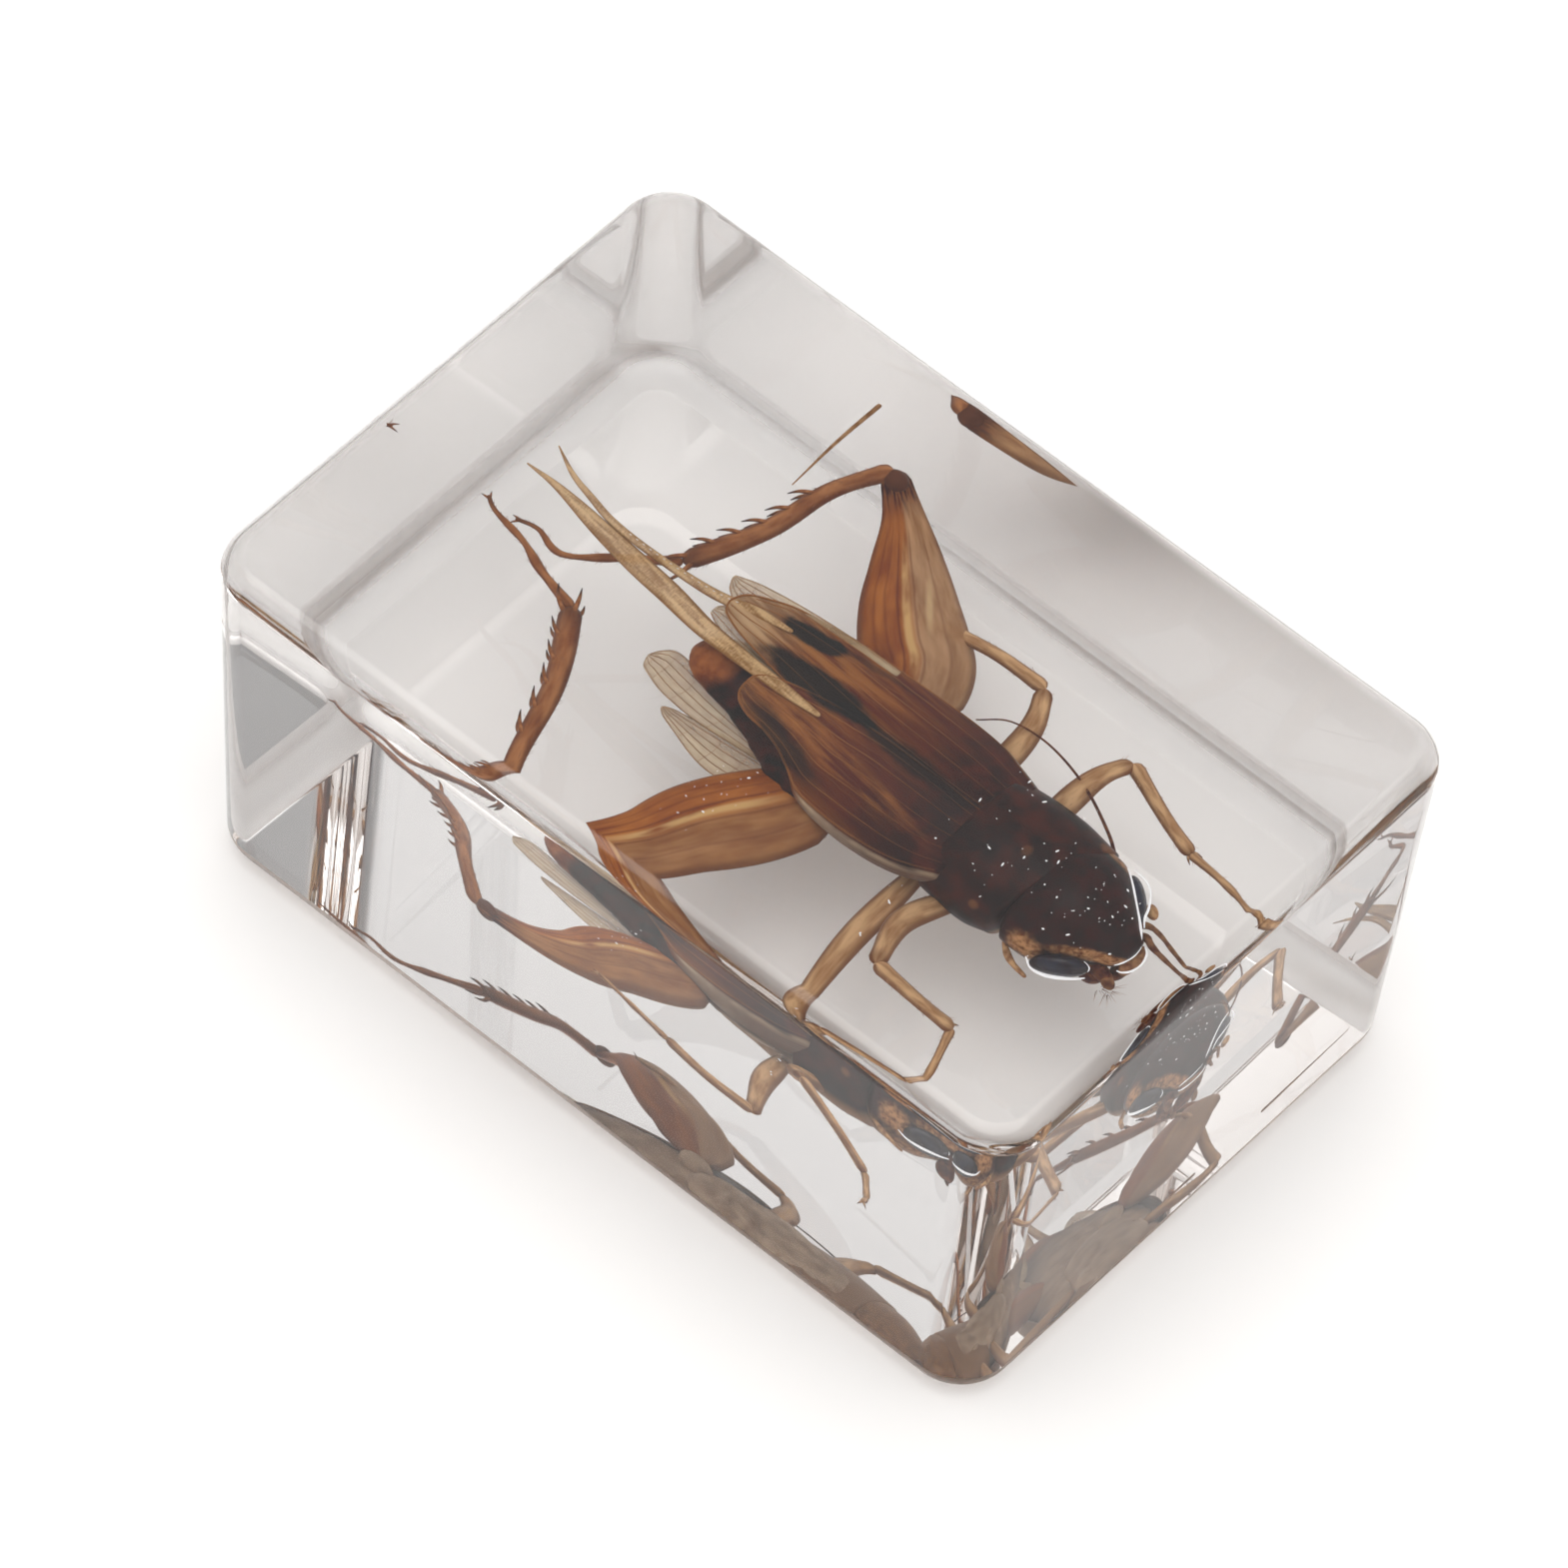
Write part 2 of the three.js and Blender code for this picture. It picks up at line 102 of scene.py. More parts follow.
class Value:
    """A socket in a node tree. Arithmetic on it adds the Math nodes that work it out."""

    def __init__(self, tree, socket=None):
        self.tree = tree
        self.socket = socket

    def node(self, kind, settings=None, inputs=None, output=0):
        """Adds any node: its settings go in first, then the values or links of its sockets."""
        made = self.tree.nodes.new(kind)
        for name, setting in (settings or {}).items():
            setattr(made, name, setting)
        for name, given in (inputs or {}).items():
            if isinstance(given, Value):
                self.tree.links.new(given.socket, made.inputs[name])
            elif isinstance(given, tuple) and len(given) == 3 and made.inputs[name].type == "RGBA":
                made.inputs[name].default_value = (*given, 1)
            else:
                made.inputs[name].default_value = given
        return Value(self.tree, made.outputs[output])

    def maths(self, operation, first, second=0.0):
        return self.node("ShaderNodeMath", {"operation": operation}, {0: first, 1: second})

    def __add__(self, other):
        return self.maths("ADD", self, other)

    def __sub__(self, other):
        return self.maths("SUBTRACT", self, other)

    def __rsub__(self, other):
        return self.maths("SUBTRACT", other, self)

    def __mul__(self, other):
        return self.maths("MULTIPLY", self, other)

    def __abs__(self):
        return self.maths("ABSOLUTE", self)

    def axis(self, name):
        """Its X, Y or Z."""
        return self.node("ShaderNodeSeparateXYZ", None, {0: self}, name)

    def fade(self, start, end):
        """0 up to start and 1 from end on, and smooth in between. Start may be the larger one."""
        low, high = min(start, end), max(start, end)
        rising = self.node(
            "ShaderNodeMapRange",
            {"interpolation_type": "SMOOTHSTEP"},
            {"Value": self, "From Min": low, "From Max": high},
        )
        return rising if start < end else 1 - rising

    def between(self, low, high):
        """The colour low where this is 0, turning to high where it is 1."""
        return self.node("ShaderNodeMix", {"data_type": "RGBA"}, {0: self, 6: low, 7: high}, 2)


def new_material(name, **constants):
    """A material whose shader has these constants, and a value to start its nodes from."""
    material = bpy.data.materials.new(name)
    material.use_nodes = True
    shader = material.node_tree.nodes["Principled BSDF"]
    for socket, number in constants.items():
        shader.inputs[socket.replace("_", " ")].default_value = number
    return material, Value(material.node_tree)


def new_object(name, bm, material):
    """A smooth object at the origin from a finished mesh, with its faces pointing out."""
    bmesh.ops.recalc_face_normals(bm, faces=bm.faces)
    for face in bm.faces:
        face.smooth = True
    data = bpy.data.meshes.new(name)
    bm.to_mesh(data)
    bm.free()
    data.materials.append(material)
    made = bpy.data.objects.new(name, data)
    scene.collection.objects.link(made)
    return made


room = bpy.data.worlds.new("white_room")
room.use_nodes = True
backdrop = room.node_tree.nodes["Background"]
way = Value(room.node_tree).node("ShaderNodeTexCoord", None, None, "Generated")
to_grey, to_lamp = (
    way.node("ShaderNodeVectorMath", {"operation": "DOT_PRODUCT"}, {0: way, 1: goal}, "Value")
    for goal in (GREY_WAY, LAMP_WAY)
)
unlit = to_grey.fade(0.90, 0.955).between(ROOM_WHITE, ROOM_GREY)
walls = to_lamp.fade(0.82, 0.92).between(unlit, LAMP_WHITE)
room.node_tree.links.new(walls.socket, backdrop.inputs["Color"])
backdrop.inputs["Strength"].default_value = ROOM_STRENGTH
scene.world = room
scene.view_settings.view_transform = "Standard"
scene.cycles.max_bounces = 24
scene.cycles.glossy_bounces = 16
scene.cycles.transmission_bounces = 16

table_paper, _ = new_material(
    "table_white",
    Base_Color=TABLE_WHITE,
    Roughness=0.9,
    Specular_IOR_Level=0.0,
    Emission_Color=(*ROOM_WHITE, 1),
    Emission_Strength=TABLE_GLOW,
)
bm = bmesh.new()
bmesh.ops.create_grid(bm, x_segments=1, y_segments=1, size=TABLE_SIZE)
bmesh.ops.translate(bm, vec=(0, 0, -TABLE_DROP), verts=bm.verts)
floor = new_object("table", bm, table_paper)

# ---- Resin block ----
# One clear casting, polished on all sides. Its walls lean in a little towards the base, as the mould
# does, its upright corners are round, and its rims are eased by hand.

BLOCK_LENGTH = 45 * MM
BLOCK_WIDTH = 30 * MM
BLOCK_HEIGHT = 20 * MM
MOULD_DRAFT = 0.7 * MM
CORNER_RADIUS = 2.6 * MM
TOP_RIM_WIDTH = 1.1 * MM
BASE_RIM_WIDTH = 1.5 * MM
RIM_FROST = 0.5
RIM_SHADE = (0.62, 0.52, 0.46)
CORNER_STEPS = 24
RIM_STEPS = 12
RESIN_TINT = (0.80, 0.76, 0.74, 1)
RESIN_DENSITY = 14.0
RIM_SHADE_START = 2.5 * MM
RIM_SHADE_END = 1.7 * MM


def feed(material, **sources):
    """Links values to the shader's own sockets, Base_Color for Base Color and so on."""
    shader = material.node_tree.nodes["Principled BSDF"]
    for name, value in sources.items():
        material.node_tree.links.new(value.socket, shader.inputs[name.replace("_", " ")])


resin, start = new_material(
    "clear_resin",
    Base_Color=(1, 1, 1, 1),
    Roughness=0.0,
    IOR=1.5,
    Transmission_Weight=1.0,
)
place = start.node("ShaderNodeTexCoord", None, None, "Object")
slope = abs(start.node("ShaderNodeNewGeometry", None, None, "Normal").axis("Z"))
low_down = place.axis("Z").fade(BASE_RIM_WIDTH * 1.1, BASE_RIM_WIDTH)
base_rim = low_down * slope.fade(0.04, 0.07) * slope.fade(0.9999, 0.995)
# Along the base rim of the front and the right side the resin is tinted with RIM_SHADE: painted shade, a
# dark band laid along those rims.
front = place.axis("Y").fade(RIM_SHADE_START - BLOCK_WIDTH / 2, RIM_SHADE_END - BLOCK_WIDTH / 2)
right_end = place.axis("X").fade(BLOCK_LENGTH / 2 - RIM_SHADE_START, BLOCK_LENGTH / 2 - RIM_SHADE_END)
painted_rim_shade = base_rim * (front + right_end)
feed(resin, Roughness=base_rim * RIM_FROST, Base_Color=painted_rim_shade.between((1, 1, 1), RIM_SHADE))
tint = start.node("ShaderNodeVolumeAbsorption", None, {"Color": RESIN_TINT, "Density": RESIN_DENSITY})
resin.node_tree.links.new(tint.socket, resin.node_tree.nodes["Material Output"].inputs["Volume"])

bm = bmesh.new()
bmesh.ops.create_cube(bm, size=1)
bmesh.ops.scale(bm, vec=(BLOCK_LENGTH, BLOCK_WIDTH, BLOCK_HEIGHT), verts=bm.verts)
bmesh.ops.translate(bm, vec=(0, 0, BLOCK_HEIGHT / 2), verts=bm.verts)
base = [v for v in bm.verts if v.co.z < BLOCK_HEIGHT / 2]
narrowing = (1 - 2 * MOULD_DRAFT / BLOCK_LENGTH, 1 - 2 * MOULD_DRAFT / BLOCK_WIDTH, 1)
bmesh.ops.scale(bm, vec=narrowing, verts=base)
corners = [e for e in bm.edges if abs(e.verts[0].co.z - e.verts[1].co.z) > BLOCK_HEIGHT / 2]
bevel = {"offset_type": "OFFSET", "profile": 0.5, "affect": "EDGES", "clamp_overlap": False, "material": -1}
bmesh.ops.bevel(bm, geom=corners, offset=CORNER_RADIUS, segments=CORNER_STEPS, **bevel)
for way_up, width in ((1, TOP_RIM_WIDTH), (-1, BASE_RIM_WIDTH)):
    bm.normal_update()
    rim = [e for e in bm.edges if any(f.normal.z * way_up > 0.99 for f in e.link_faces)]
    bmesh.ops.bevel(bm, geom=rim, offset=width, segments=RIM_STEPS, **bevel)
block = new_object("resin_block", bm, resin)
flat_faces = block.modifiers.new("flat_faces", "WEIGHTED_NORMAL")
flat_faces.weight = 100
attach(block, "root")
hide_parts("resin_lower_half", "resin_upper_half")

# ---- Loose cercus ----
# One thin tail feeler has broken off and floats in the resin above the left hind leg. Like the whole
# cricket it is laid out in a frame of its own, which is set in the block at CAST_SCALE and CAST_SHIFT.

UP = Vector((0, 0, 1))
CAST_SCALE = 0.974
CAST_SHIFT = Vector((0.377, -0.224, 1.08)) * MM
CERCUS_RADIUS = 0.12


class Route:
    """A smooth line through points given in millimetres, read by the share of its length."""

    def __init__(self, *points, steps=16):
        knots = [Vector(point) * MM for point in points]
        ends = [knots[0] * 2 - knots[1], *knots, knots[-1] * 2 - knots[-2]]
        self.line = [knots[0]]
        for before, start, end, after in zip(ends, ends[1:], ends[2:], ends[3:]):
            leaving = start + (end - before) / 6
            arriving = end - (after - start) / 6
            self.line += interpolate_bezier(start, leaving, arriving, end, steps)[1:]
        self.reach = [0.0]
        for start, end in zip(self.line, self.line[1:]):
            self.reach.append(self.reach[-1] + (end - start).length)
        self.length = self.reach[-1]

    def at(self, share):
        goal = min(max(share, 0), 1) * self.length
        i = min(max(bisect_left(self.reach, goal), 1), len(self.line) - 1)
        part = (goal - self.reach[i - 1]) / (self.reach[i] - self.reach[i - 1])
        return self.line[i - 1].lerp(self.line[i], part)

    def heading(self, share):
        return (self.at(share + 0.02) - self.at(share - 0.02)).normalized()

    def frame(self, share):
        """The directions along, aside and over the line."""
        along = self.heading(share)
        aside = UP.cross(along).normalized()
        return along, aside, along.cross(aside)


def smoothly(values, share):
    """Reads numbers that are spread evenly along a part, smoothly in between."""
    spot = min(max(share, 0), 1) * (len(values) - 1)
    i = min(int(spot), len(values) - 2)
    part = spot - i
    a, b = values[i], values[i + 1]
    before = values[i - 1] if i else 2 * a - b
    after = values[i + 2] if i + 2 < len(values) else 2 * b - a
    bend = 2 * before - 5 * a + 4 * b - after + part * (3 * (a - b) + after - before)
    return a + part / 2 * (b - before + part * bend)


def new_shape():
    """An empty mesh whose points can say where on the part they are."""
    bm = bmesh.new()
    for name in ("along", "aside", "mark"):
        bm.verts.layers.float.new(name)
    return bm


def join(bm, part):
    """Adds a finished part to the mesh of the piece that it belongs to."""
    held = bpy.data.meshes.new("part")
    part.to_mesh(held)
    part.free()
    bm.from_mesh(held)
    bpy.data.meshes.remove(held)


def tube(bm, route, widths, heights, sides=12, rings=16, keels=(0, 0.0), tips=(1, 1), mark=0.0):
    """Draws an oval form along a route by extruding a ring. Widths and heights are half measures in
    millimetres from its start to its end, and keels a number of ridges along it and their depth. Its
    mark is a number, or "along" to let it rise from 0 at the start to 1 at the end."""
    part = new_shape()
    layers = part.verts.layers.float
    caps = [max(tip * side * MM / route.length, 1e-4) for tip, side in zip(tips, (widths[0], widths[-1]))]
    rounded = (0.0, 0.12, 0.4)
    middle = [caps[0] + (1 - caps[0] - caps[1]) * i / rings for i in range(rings + 1)]
    shares = [caps[0] * step for step in rounded] + middle + [1 - caps[1] * step for step in rounded[::-1]]

    def placing(share):
        near = min(share / caps[0], (1 - share) / caps[1], 1)
        fullness = max(math.sqrt(1 - (1 - near) ** 2), 0.2) * MM
        along, aside, over = route.frame(share)
        wide, high = smoothly(widths, share) * fullness, smoothly(heights, share) * fullness
        centre = route.at(share)
        rows = [(aside[k] * wide, over[k] * high, along[k] * MM, centre[k]) for k in range(3)]
        return Matrix(rows + [(0, 0, 0, 1)])

    def note(ring, share):
        for vert in ring:
            vert[layers["along"]] = share
            vert[layers["mark"]] = share if mark == "along" else mark

    ring = bmesh.ops.create_circle(part, cap_ends=True, segments=sides, radius=1)["verts"]
    for vert in ring:
        angle = math.atan2(vert.co.y, vert.co.x)
        vert.co *= 1 + keels[1] * math.cos(keels[0] * angle)
        vert[layers["aside"]] = math.cos(angle)
    edges = list(ring[0].link_faces[0].edges)
    placed = placing(shares[0])
    bmesh.ops.transform(part, matrix=placed, verts=ring)
    note(ring, shares[0])
    for share in shares[1:]:
        grown = bmesh.ops.extrude_edge_only(part, edges=edges)["geom"]
        ring = [new for new in grown if isinstance(new, bmesh.types.BMVert)]
        fresh = set(ring)
        edges = [new for new in grown if isinstance(new, bmesh.types.BMEdge) and fresh.issuperset(new.verts)]
        following = placing(share)
        bmesh.ops.transform(part, matrix=following @ placed.inverted(), verts=ring)
        placed = following
        note(ring, share)
    bmesh.ops.edgeloop_fill(part, edges=edges)
    join(bm, part)


THROUGH_RESIN = 0.75
RESIN_VEIL = 0.036
DARKEST = 0.004
PALEST = 0.97


def paint(red, green, blue):
    """The shader's linear colour for one given in screen values from 0 to 255, as it looks when it is
    seen through the resin, which keeps a part of the light and lays a thin veil over it."""
    linear = [((part / 255 + 0.055) / 1.055) ** 2.4 for part in (red, green, blue)]
    seen = [max((part - RESIN_VEIL) / THROUGH_RESIN, DARKEST) for part in linear]
    return tuple(part * min(PALEST / max(seen), 1) for part in seen)


def chitin(name, **constants):
    """An insect skin, whose gloss is low because resin wets it, and its place on the cricket."""
    settings = {"Roughness": 0.45, "Specular_IOR_Level": 0.08, **constants}
    material, start = new_material(name, **settings)
    cast_place = start.node("ShaderNodeTexCoord", None, None, "Object")
    place = start.node(
        "ShaderNodeMapping",
        {"vector_type": "TEXTURE"},
        {"Vector": cast_place, "Location": CAST_SHIFT, "Scale": (CAST_SCALE,) * 3},
    )
    return material, place


def noise(place, size, detail=3.0, stretch=(1, 1, 1), turn=0.0):
    """Cloudy variation whose blots are about size millimetres across."""
    moved = place.node(
        "ShaderNodeMapping",
        {"vector_type": "TEXTURE"},
        {"Vector": place, "Rotation": (0, 0, turn), "Scale": stretch},
    )
    return place.node(
        "ShaderNodeTexNoise", None, {"Vector": moved, "Scale": 1 / (size * MM), "Detail": detail},
    )


def mottled(cloud, dark, pale):
    """A cloudy mix of two colours, given in screen values."""
    return cloud.fade(0.3, 0.7).between(paint(*dark), paint(*pale))


def fix(name, bm, material, node="cricket"):
    """Casts a finished part in the block, in place of the plain solid that stood there."""
    piece = new_object(name, bm, material)
    piece.data.transform(Matrix.Translation(CAST_SHIFT) @ Matrix.Scale(CAST_SCALE, 4))
    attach(piece, "root")
    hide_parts(node)


cercus_skin, place = chitin("cercus_chitin")
shade = noise(place, 0.4)
feed(cercus_skin, Base_Color=mottled(shade, (118, 84, 60), (160, 124, 92)))
bm = new_shape()
cercus_line = Route((-8.6, 13.2, 16), (-8.6, 10.2, 16.05), (-8.45, 7.1, 16))
cercus_girth = [part * CERCUS_RADIUS for part in (1, 0.7, 0.25)]
tube(bm, cercus_line, cercus_girth, cercus_girth, sides=10, rings=40)
fix("loose_cercus_feeler", bm, cercus_skin, "loose_cercus")

# ---- Abdomen and thorax ----
# The trunk of the cricket: ringed plates, shrunk flat under the wings, that taper to a red-brown tip,
# and below and before them the deep breast that carries the six legs.

BODY_Y = 1.1
BODY_Z = 8.1
ABDOMEN_RINGS = 11
RING_SWELL = 0.035
TRUNK_STEPS = 66
ABDOMEN_WIDTHS = [3.3, 3.8, 4.05, 4.1, 3.95, 3.0, 1.8, 1.0]
ABDOMEN_HEIGHTS = [2.3, 2.2, 2.0, 1.8, 1.6, 1.35, 1.1, 0.75]
BREAST_WIDTHS = [1.6, 2.35, 2.25, 2.5, 2.3, 2.1, 1.6]
BREAST_HEIGHTS = [0.9, 1.2, 1.1, 1.25, 1.15, 1.2, 0.9]


def patch(place, centre, reach, turn=0.0, soft=0.35):
    """1 inside an oval at centre that reaches so many millimetres each way, and 0 outside it."""
    moved = place.node(
        "ShaderNodeMapping",
        {"vector_type": "TEXTURE"},
        {"Vector": place, "Location": tuple(c * MM for c in centre), "Rotation": (0, 0, turn),
         "Scale": tuple(r * MM for r in reach)},
    )
    far = place.node("ShaderNodeVectorMath", {"operation": "LENGTH"}, {0: moved}, "Value")
    return far.fade(1 + soft, 1 - soft)


trunk, place = chitin("trunk_chitin")
blots = noise(place, 0.9)
dark = mottled(blots, (58, 48, 47), (78, 57, 48))
tip = patch(place, (-6.9, 0.1, 8.6), (1.9, 1.7, 2.4), 0.0, 0.2)
brown = tip.between(dark, mottled(blots, (108, 68, 52), (154, 98, 66)))
below = place.axis("Z").fade(8.0 * MM, 6.6 * MM)
belly = mottled(blots, (150, 122, 100), (196, 172, 148))
feed(trunk, Base_Color=(below * 0.85).between(brown, belly))

bm = new_shape()
spine = Route((9, BODY_Y, 8.1), (3, BODY_Y, 8.2), (-2, 0.95, 8.4), (-5.5, 0.3, 8.6), (-7.6, 0.05, 8.6))
stations = [i / TRUNK_STEPS for i in range(TRUNK_STEPS + 1)]
swell = [1 + RING_SWELL * (share * ABDOMEN_RINGS % 1) for share in stations]
tube(
    bm, spine,
    [smoothly(ABDOMEN_WIDTHS, share) * bulge for share, bulge in zip(stations, swell)],
    [smoothly(ABDOMEN_HEIGHTS, share) * bulge for share, bulge in zip(stations, swell)],
    sides=40, rings=TRUNK_STEPS,
)
breast = Route((12.4, 0.8, 6.7), (7, BODY_Y, 6.4), (1.5, BODY_Y, 6.7))
tube(bm, breast, BREAST_WIDTHS, BREAST_HEIGHTS, sides=28, rings=36)
HIPS = (
    (1.9, -1.3, 7.4), (1.4, 3.6, 6.6), (6.9, -1.4, 6.4), (5.9, 3.6, 6.6), (9.2, -1.2, 6.6), (9.3, 3.4, 6.9),
)
for x, y, z in HIPS:
    inner = BODY_Y + (y - BODY_Y) * 0.35
    tube(bm, Route((x + 0.3, inner, z - 0.4), (x + 0.1, (inner + y) / 2, z - 0.2), (x, y, z)),
         [0.8, 1.0, 0.75], [0.7, 0.85, 0.6], sides=16, rings=10)
fix("cricket_trunk", bm, trunk)

# ---- Pronotum ----
# The broad saddle shield behind the head, nearly black, with faint red-brown clouds and a few small
# tan spots. Its front edge runs slantwise, because the head is turned a little.

PRONOTUM_HALF_WIDTH = 3.75
PRONOTUM_HALF_HEIGHT = 2.7
PRONOTUM_WIDTHS = (0.9, 0.925, 0.96, 0.99, 1, 1, 0.99, 0.975, 0.96, 0.93)
PRONOTUM_HEIGHTS = (0.9, 0.93, 0.96, 0.99, 1, 1, 0.99, 0.97, 0.95, 0.92)
PRONOTUM_SQUARENESS = 0.06
DENT_DEPTH = 0.1 * MM
FRONT_SLANT = 0.3


def attribute(place, name):
    return place.node("ShaderNodeAttribute", {"attribute_name": name}, None, "Fac")


shield, place = chitin("pronotum_chitin", Roughness=0.35)
blots = noise(place, 1.1, 5.0)
clouds = noise(place, 2.4, 2.0)
deep = (blots * 0.6 + clouds * 0.4).fade(0.4, 0.66).between(paint(60, 50, 50), paint(80, 58, 54))
spots = patch(place, (10.5, -2.3, 9.6), (0.3, 0.22, 0.4))
spots = spots + patch(place, (10.6, 1.1, 10.7), (0.24, 0.3, 0.4)) * 0.5
spots = spots + patch(place, (12.9, 3.9, 9.3), (0.7, 0.45, 0.6)) * blots.fade(0.4, 0.6)
rear_rim = attribute(place, "along").fade(0.95, 0.99) * 0.35
below = place.axis("Z").fade(7.6 * MM, 6.6 * MM)
colour = (spots * 0.5 + rear_rim * blots).between(deep, paint(132, 94, 70))
feed(shield, Base_Color=(below * 0.8).between(colour, paint(150, 116, 90)))

bm = new_shape()
saddle = Route((12.6, BODY_Y, 8.1), (10.6, BODY_Y, 8.1), (8.9, BODY_Y, 8.1), (7.3, BODY_Y, 8.1))
tube(
    bm, saddle,
    [part * PRONOTUM_HALF_WIDTH for part in PRONOTUM_WIDTHS],
    [part * PRONOTUM_HALF_HEIGHT for part in PRONOTUM_HEIGHTS],
    sides=64, rings=44, tips=(0.12, 0.1),
)
for vert in bm.verts:
    steepness = math.atan2(abs(vert.co.z - BODY_Z * MM), abs(vert.co.y - BODY_Y * MM))
    squareness = 1 + PRONOTUM_SQUARENESS * math.sin(2 * steepness) ** 2
    vert.co.y = BODY_Y * MM + (vert.co.y - BODY_Y * MM) * squareness
    from_side = abs(vert.co.y / MM - BODY_Y) - 1.4
    dent = math.exp(-((vert.co.x / MM - 10.2) / 0.9) ** 2 - (from_side / 0.6) ** 2)
    if vert.co.z > BODY_Z * MM:
        vert.co.z -= DENT_DEPTH * dent
    forward = max(vert.co.x - 9.6 * MM, 0) / (3.0 * MM)
    vert.co.x += (vert.co.y - BODY_Y * MM) * FRONT_SLANT * forward
fix("cricket_pronotum", bm, shield)

# ---- Head ----
# A round, hard capsule, darker than the shield, with an orange-brown band over the right cheek. It
# fits into the front of the shield and narrows to the face.

SKULL_WIDTHS = [0.8, 1.45, 2.1, 2.8, 3.25, 3.35, 3.3, 3.1]
SKULL_HEIGHTS = [0.8, 1.5, 2.05, 2.4, 2.6, 2.6, 2.5, 2.4]
CHEEK_BAND = Route(
    (12.6, -1.7, 8.7), (13.4, -1.6, 8.8), (14.3, -1.2, 9.0), (15.1, -0.8, 9.0), (15.9, -0.4, 8.8),
    (16.6, -0.1, 8.5), (16.9, 0.2, 8.2),
)
CHEEK_SPOT = Vector((13.3, -1.9, 8.6)) * MM
capsule, place = chitin("head_chitin", Roughness=0.3)
blots = noise(place, 0.8, 4.0)
fine = noise(place, 0.25, 3.0)
deep = blots.fade(0.35, 0.75).between(paint(61, 50, 51), paint(73, 56, 55))
rear_left = patch(place, (13.3, 4.1, 9.2), (1.0, 0.35, 0.8), -0.2) * 0.7
band = (attribute(place, "mark") + (blots - 0.5) * 0.5).fade(0.15, 0.6) + rear_left
below = place.axis("Z").fade(8.2 * MM, 7.0 * MM)
amber = mottled(fine, (112, 76, 58), (180, 136, 98))
feed(capsule, Base_Color=(band + below * 0.75).between(deep, amber))

bm = new_shape()
skull = Route((16.8, 0.75, 7.6), (16.0, 0.9, 7.9), (14.4, 1.0, 8.2), (11.2, BODY_Y, 8.1))
tube(bm, skull, SKULL_WIDTHS, SKULL_HEIGHTS, sides=110, rings=90, tips=(0.5, 0.3))
bmesh.ops.recalc_face_normals(bm, faces=bm.faces)
marks = bm.verts.layers.float["mark"]
band_points = [CHEEK_BAND.at(i / 40) for i in range(41)]
for vert in bm.verts:
    gap = min((vert.co - point).length for point in band_points)
    spread = (vert.co - CHEEK_SPOT).length
    vert[marks] = max(1 - gap / (0.65 * MM), 1 - spread / (1.3 * MM), 0)
bm.normal_update()
skull_surface = BVHTree.FromBMesh(bm)
fix("cricket_head", bm, capsule)

# ---- Eyes ----
# Two long oval compound eyes, grey-black and glossier than the skin round them, set aslant in the
# sides of the head.

RIGHT_EYE = Vector((15.0, -1.75, 8.4))
LEFT_EYE = Vector((15.15, 3.15, 8.5))
EYE_REACH = Vector((1.3, 0.5, 0.8))

eye_skin, place = chitin("eye_lens", Roughness=0.2, Specular_IOR_Level=0.3)
tone = noise(place, 0.7)
feed(eye_skin, Base_Color=mottled(tone, (60, 55, 58), (63, 64, 73)))
bm = new_shape()
for centre, turn in ((RIGHT_EYE, 0.62), (LEFT_EYE, -0.75)):
    turned = Matrix.Translation(centre * MM) @ Matrix.Rotation(turn, 4, "Z")
    placed = turned @ Matrix.Diagonal((*(EYE_REACH * MM), 1))
    bmesh.ops.create_uvsphere(bm, u_segments=32, v_segments=20, radius=1, matrix=placed)
bmesh.ops.recalc_face_normals(bm, faces=bm.faces)
bm.normal_update()
eye_surface = BVHTree.FromBMesh(bm)
fix("cricket_eyes", bm, eye_skin)

# ---- Air films ----
# Where the resin didn't wet the cricket, thin films of air are left that look like silver. They run
# as fine bright lines along the edge of the head, of the eyes and of the lip. Their shine is painted
# light: a pale grey colour and an emission stand in for the light that the air reflects.

FILM_LIFT = 0.02
FILM_PAINTED_GLOW = 0.62
# The emission in these settings is painted light: it stands in for the light that trapped air reflects.
PAINTED_SILVER_GLOW = {"Roughness": 0.3, "Emission_Color": (1, 1, 1, 1), "Emission_Strength": FILM_PAINTED_GLOW}


def resting(surface, line):
    """The points of a line, in millimetres, laid onto a surface and a little out of it."""
    rested = []
    for point in line:
        touched, outward, _, _ = surface.find_nearest(Vector(point) * MM)
        rested.append(touched / MM + outward * FILM_LIFT)
    return rested


# The films' pale grey colour and emission are a painted reflection of the silver that air shows in resin.
air_film, place = chitin("air_film", **PAINTED_SILVER_GLOW)
feed(air_film, Base_Color=noise(place, 0.3).between(paint(150, 150, 154), paint(176, 176, 180)))
bm = new_shape()
FILMS = (
    (skull_surface,
     [(14.0, 4.2, 9.1), (14.3, 4.0, 9.2), (15.0, 3.1, 9.3), (15.8, 2.3, 9.1), (16.4, 1.8, 8.7),
      (16.8, 1.4, 8.3)], 0.06),
    (skull_surface, [(16.8, 1.4, 8.3), (16.95, 0.8, 8.2), (16.95, 0.2, 8.1), (16.8, -0.1, 8.0)], 0.05),
    (eye_surface, [(15.7, -0.9, 8.6), (16.1, -0.8, 8.4), (16.4, -1.0, 8.2)], 0.04),
)
for surface, film, girth in FILMS:
    around = [girth * part for part in (0.4, 1, 0.8, 1.1, 0.4)]
    tube(bm, Route(*resting(surface, film)), around, around, sides=8, rings=40)
eye_rim = Route(
    (13.6, -2.3, 8.2), (14.15, -2.6, 8.2), (14.8, -2.5, 8.2), (15.4, -2.15, 8.2), (15.9, -1.75, 8.2),
    (16.2, -1.4, 8.2),
)
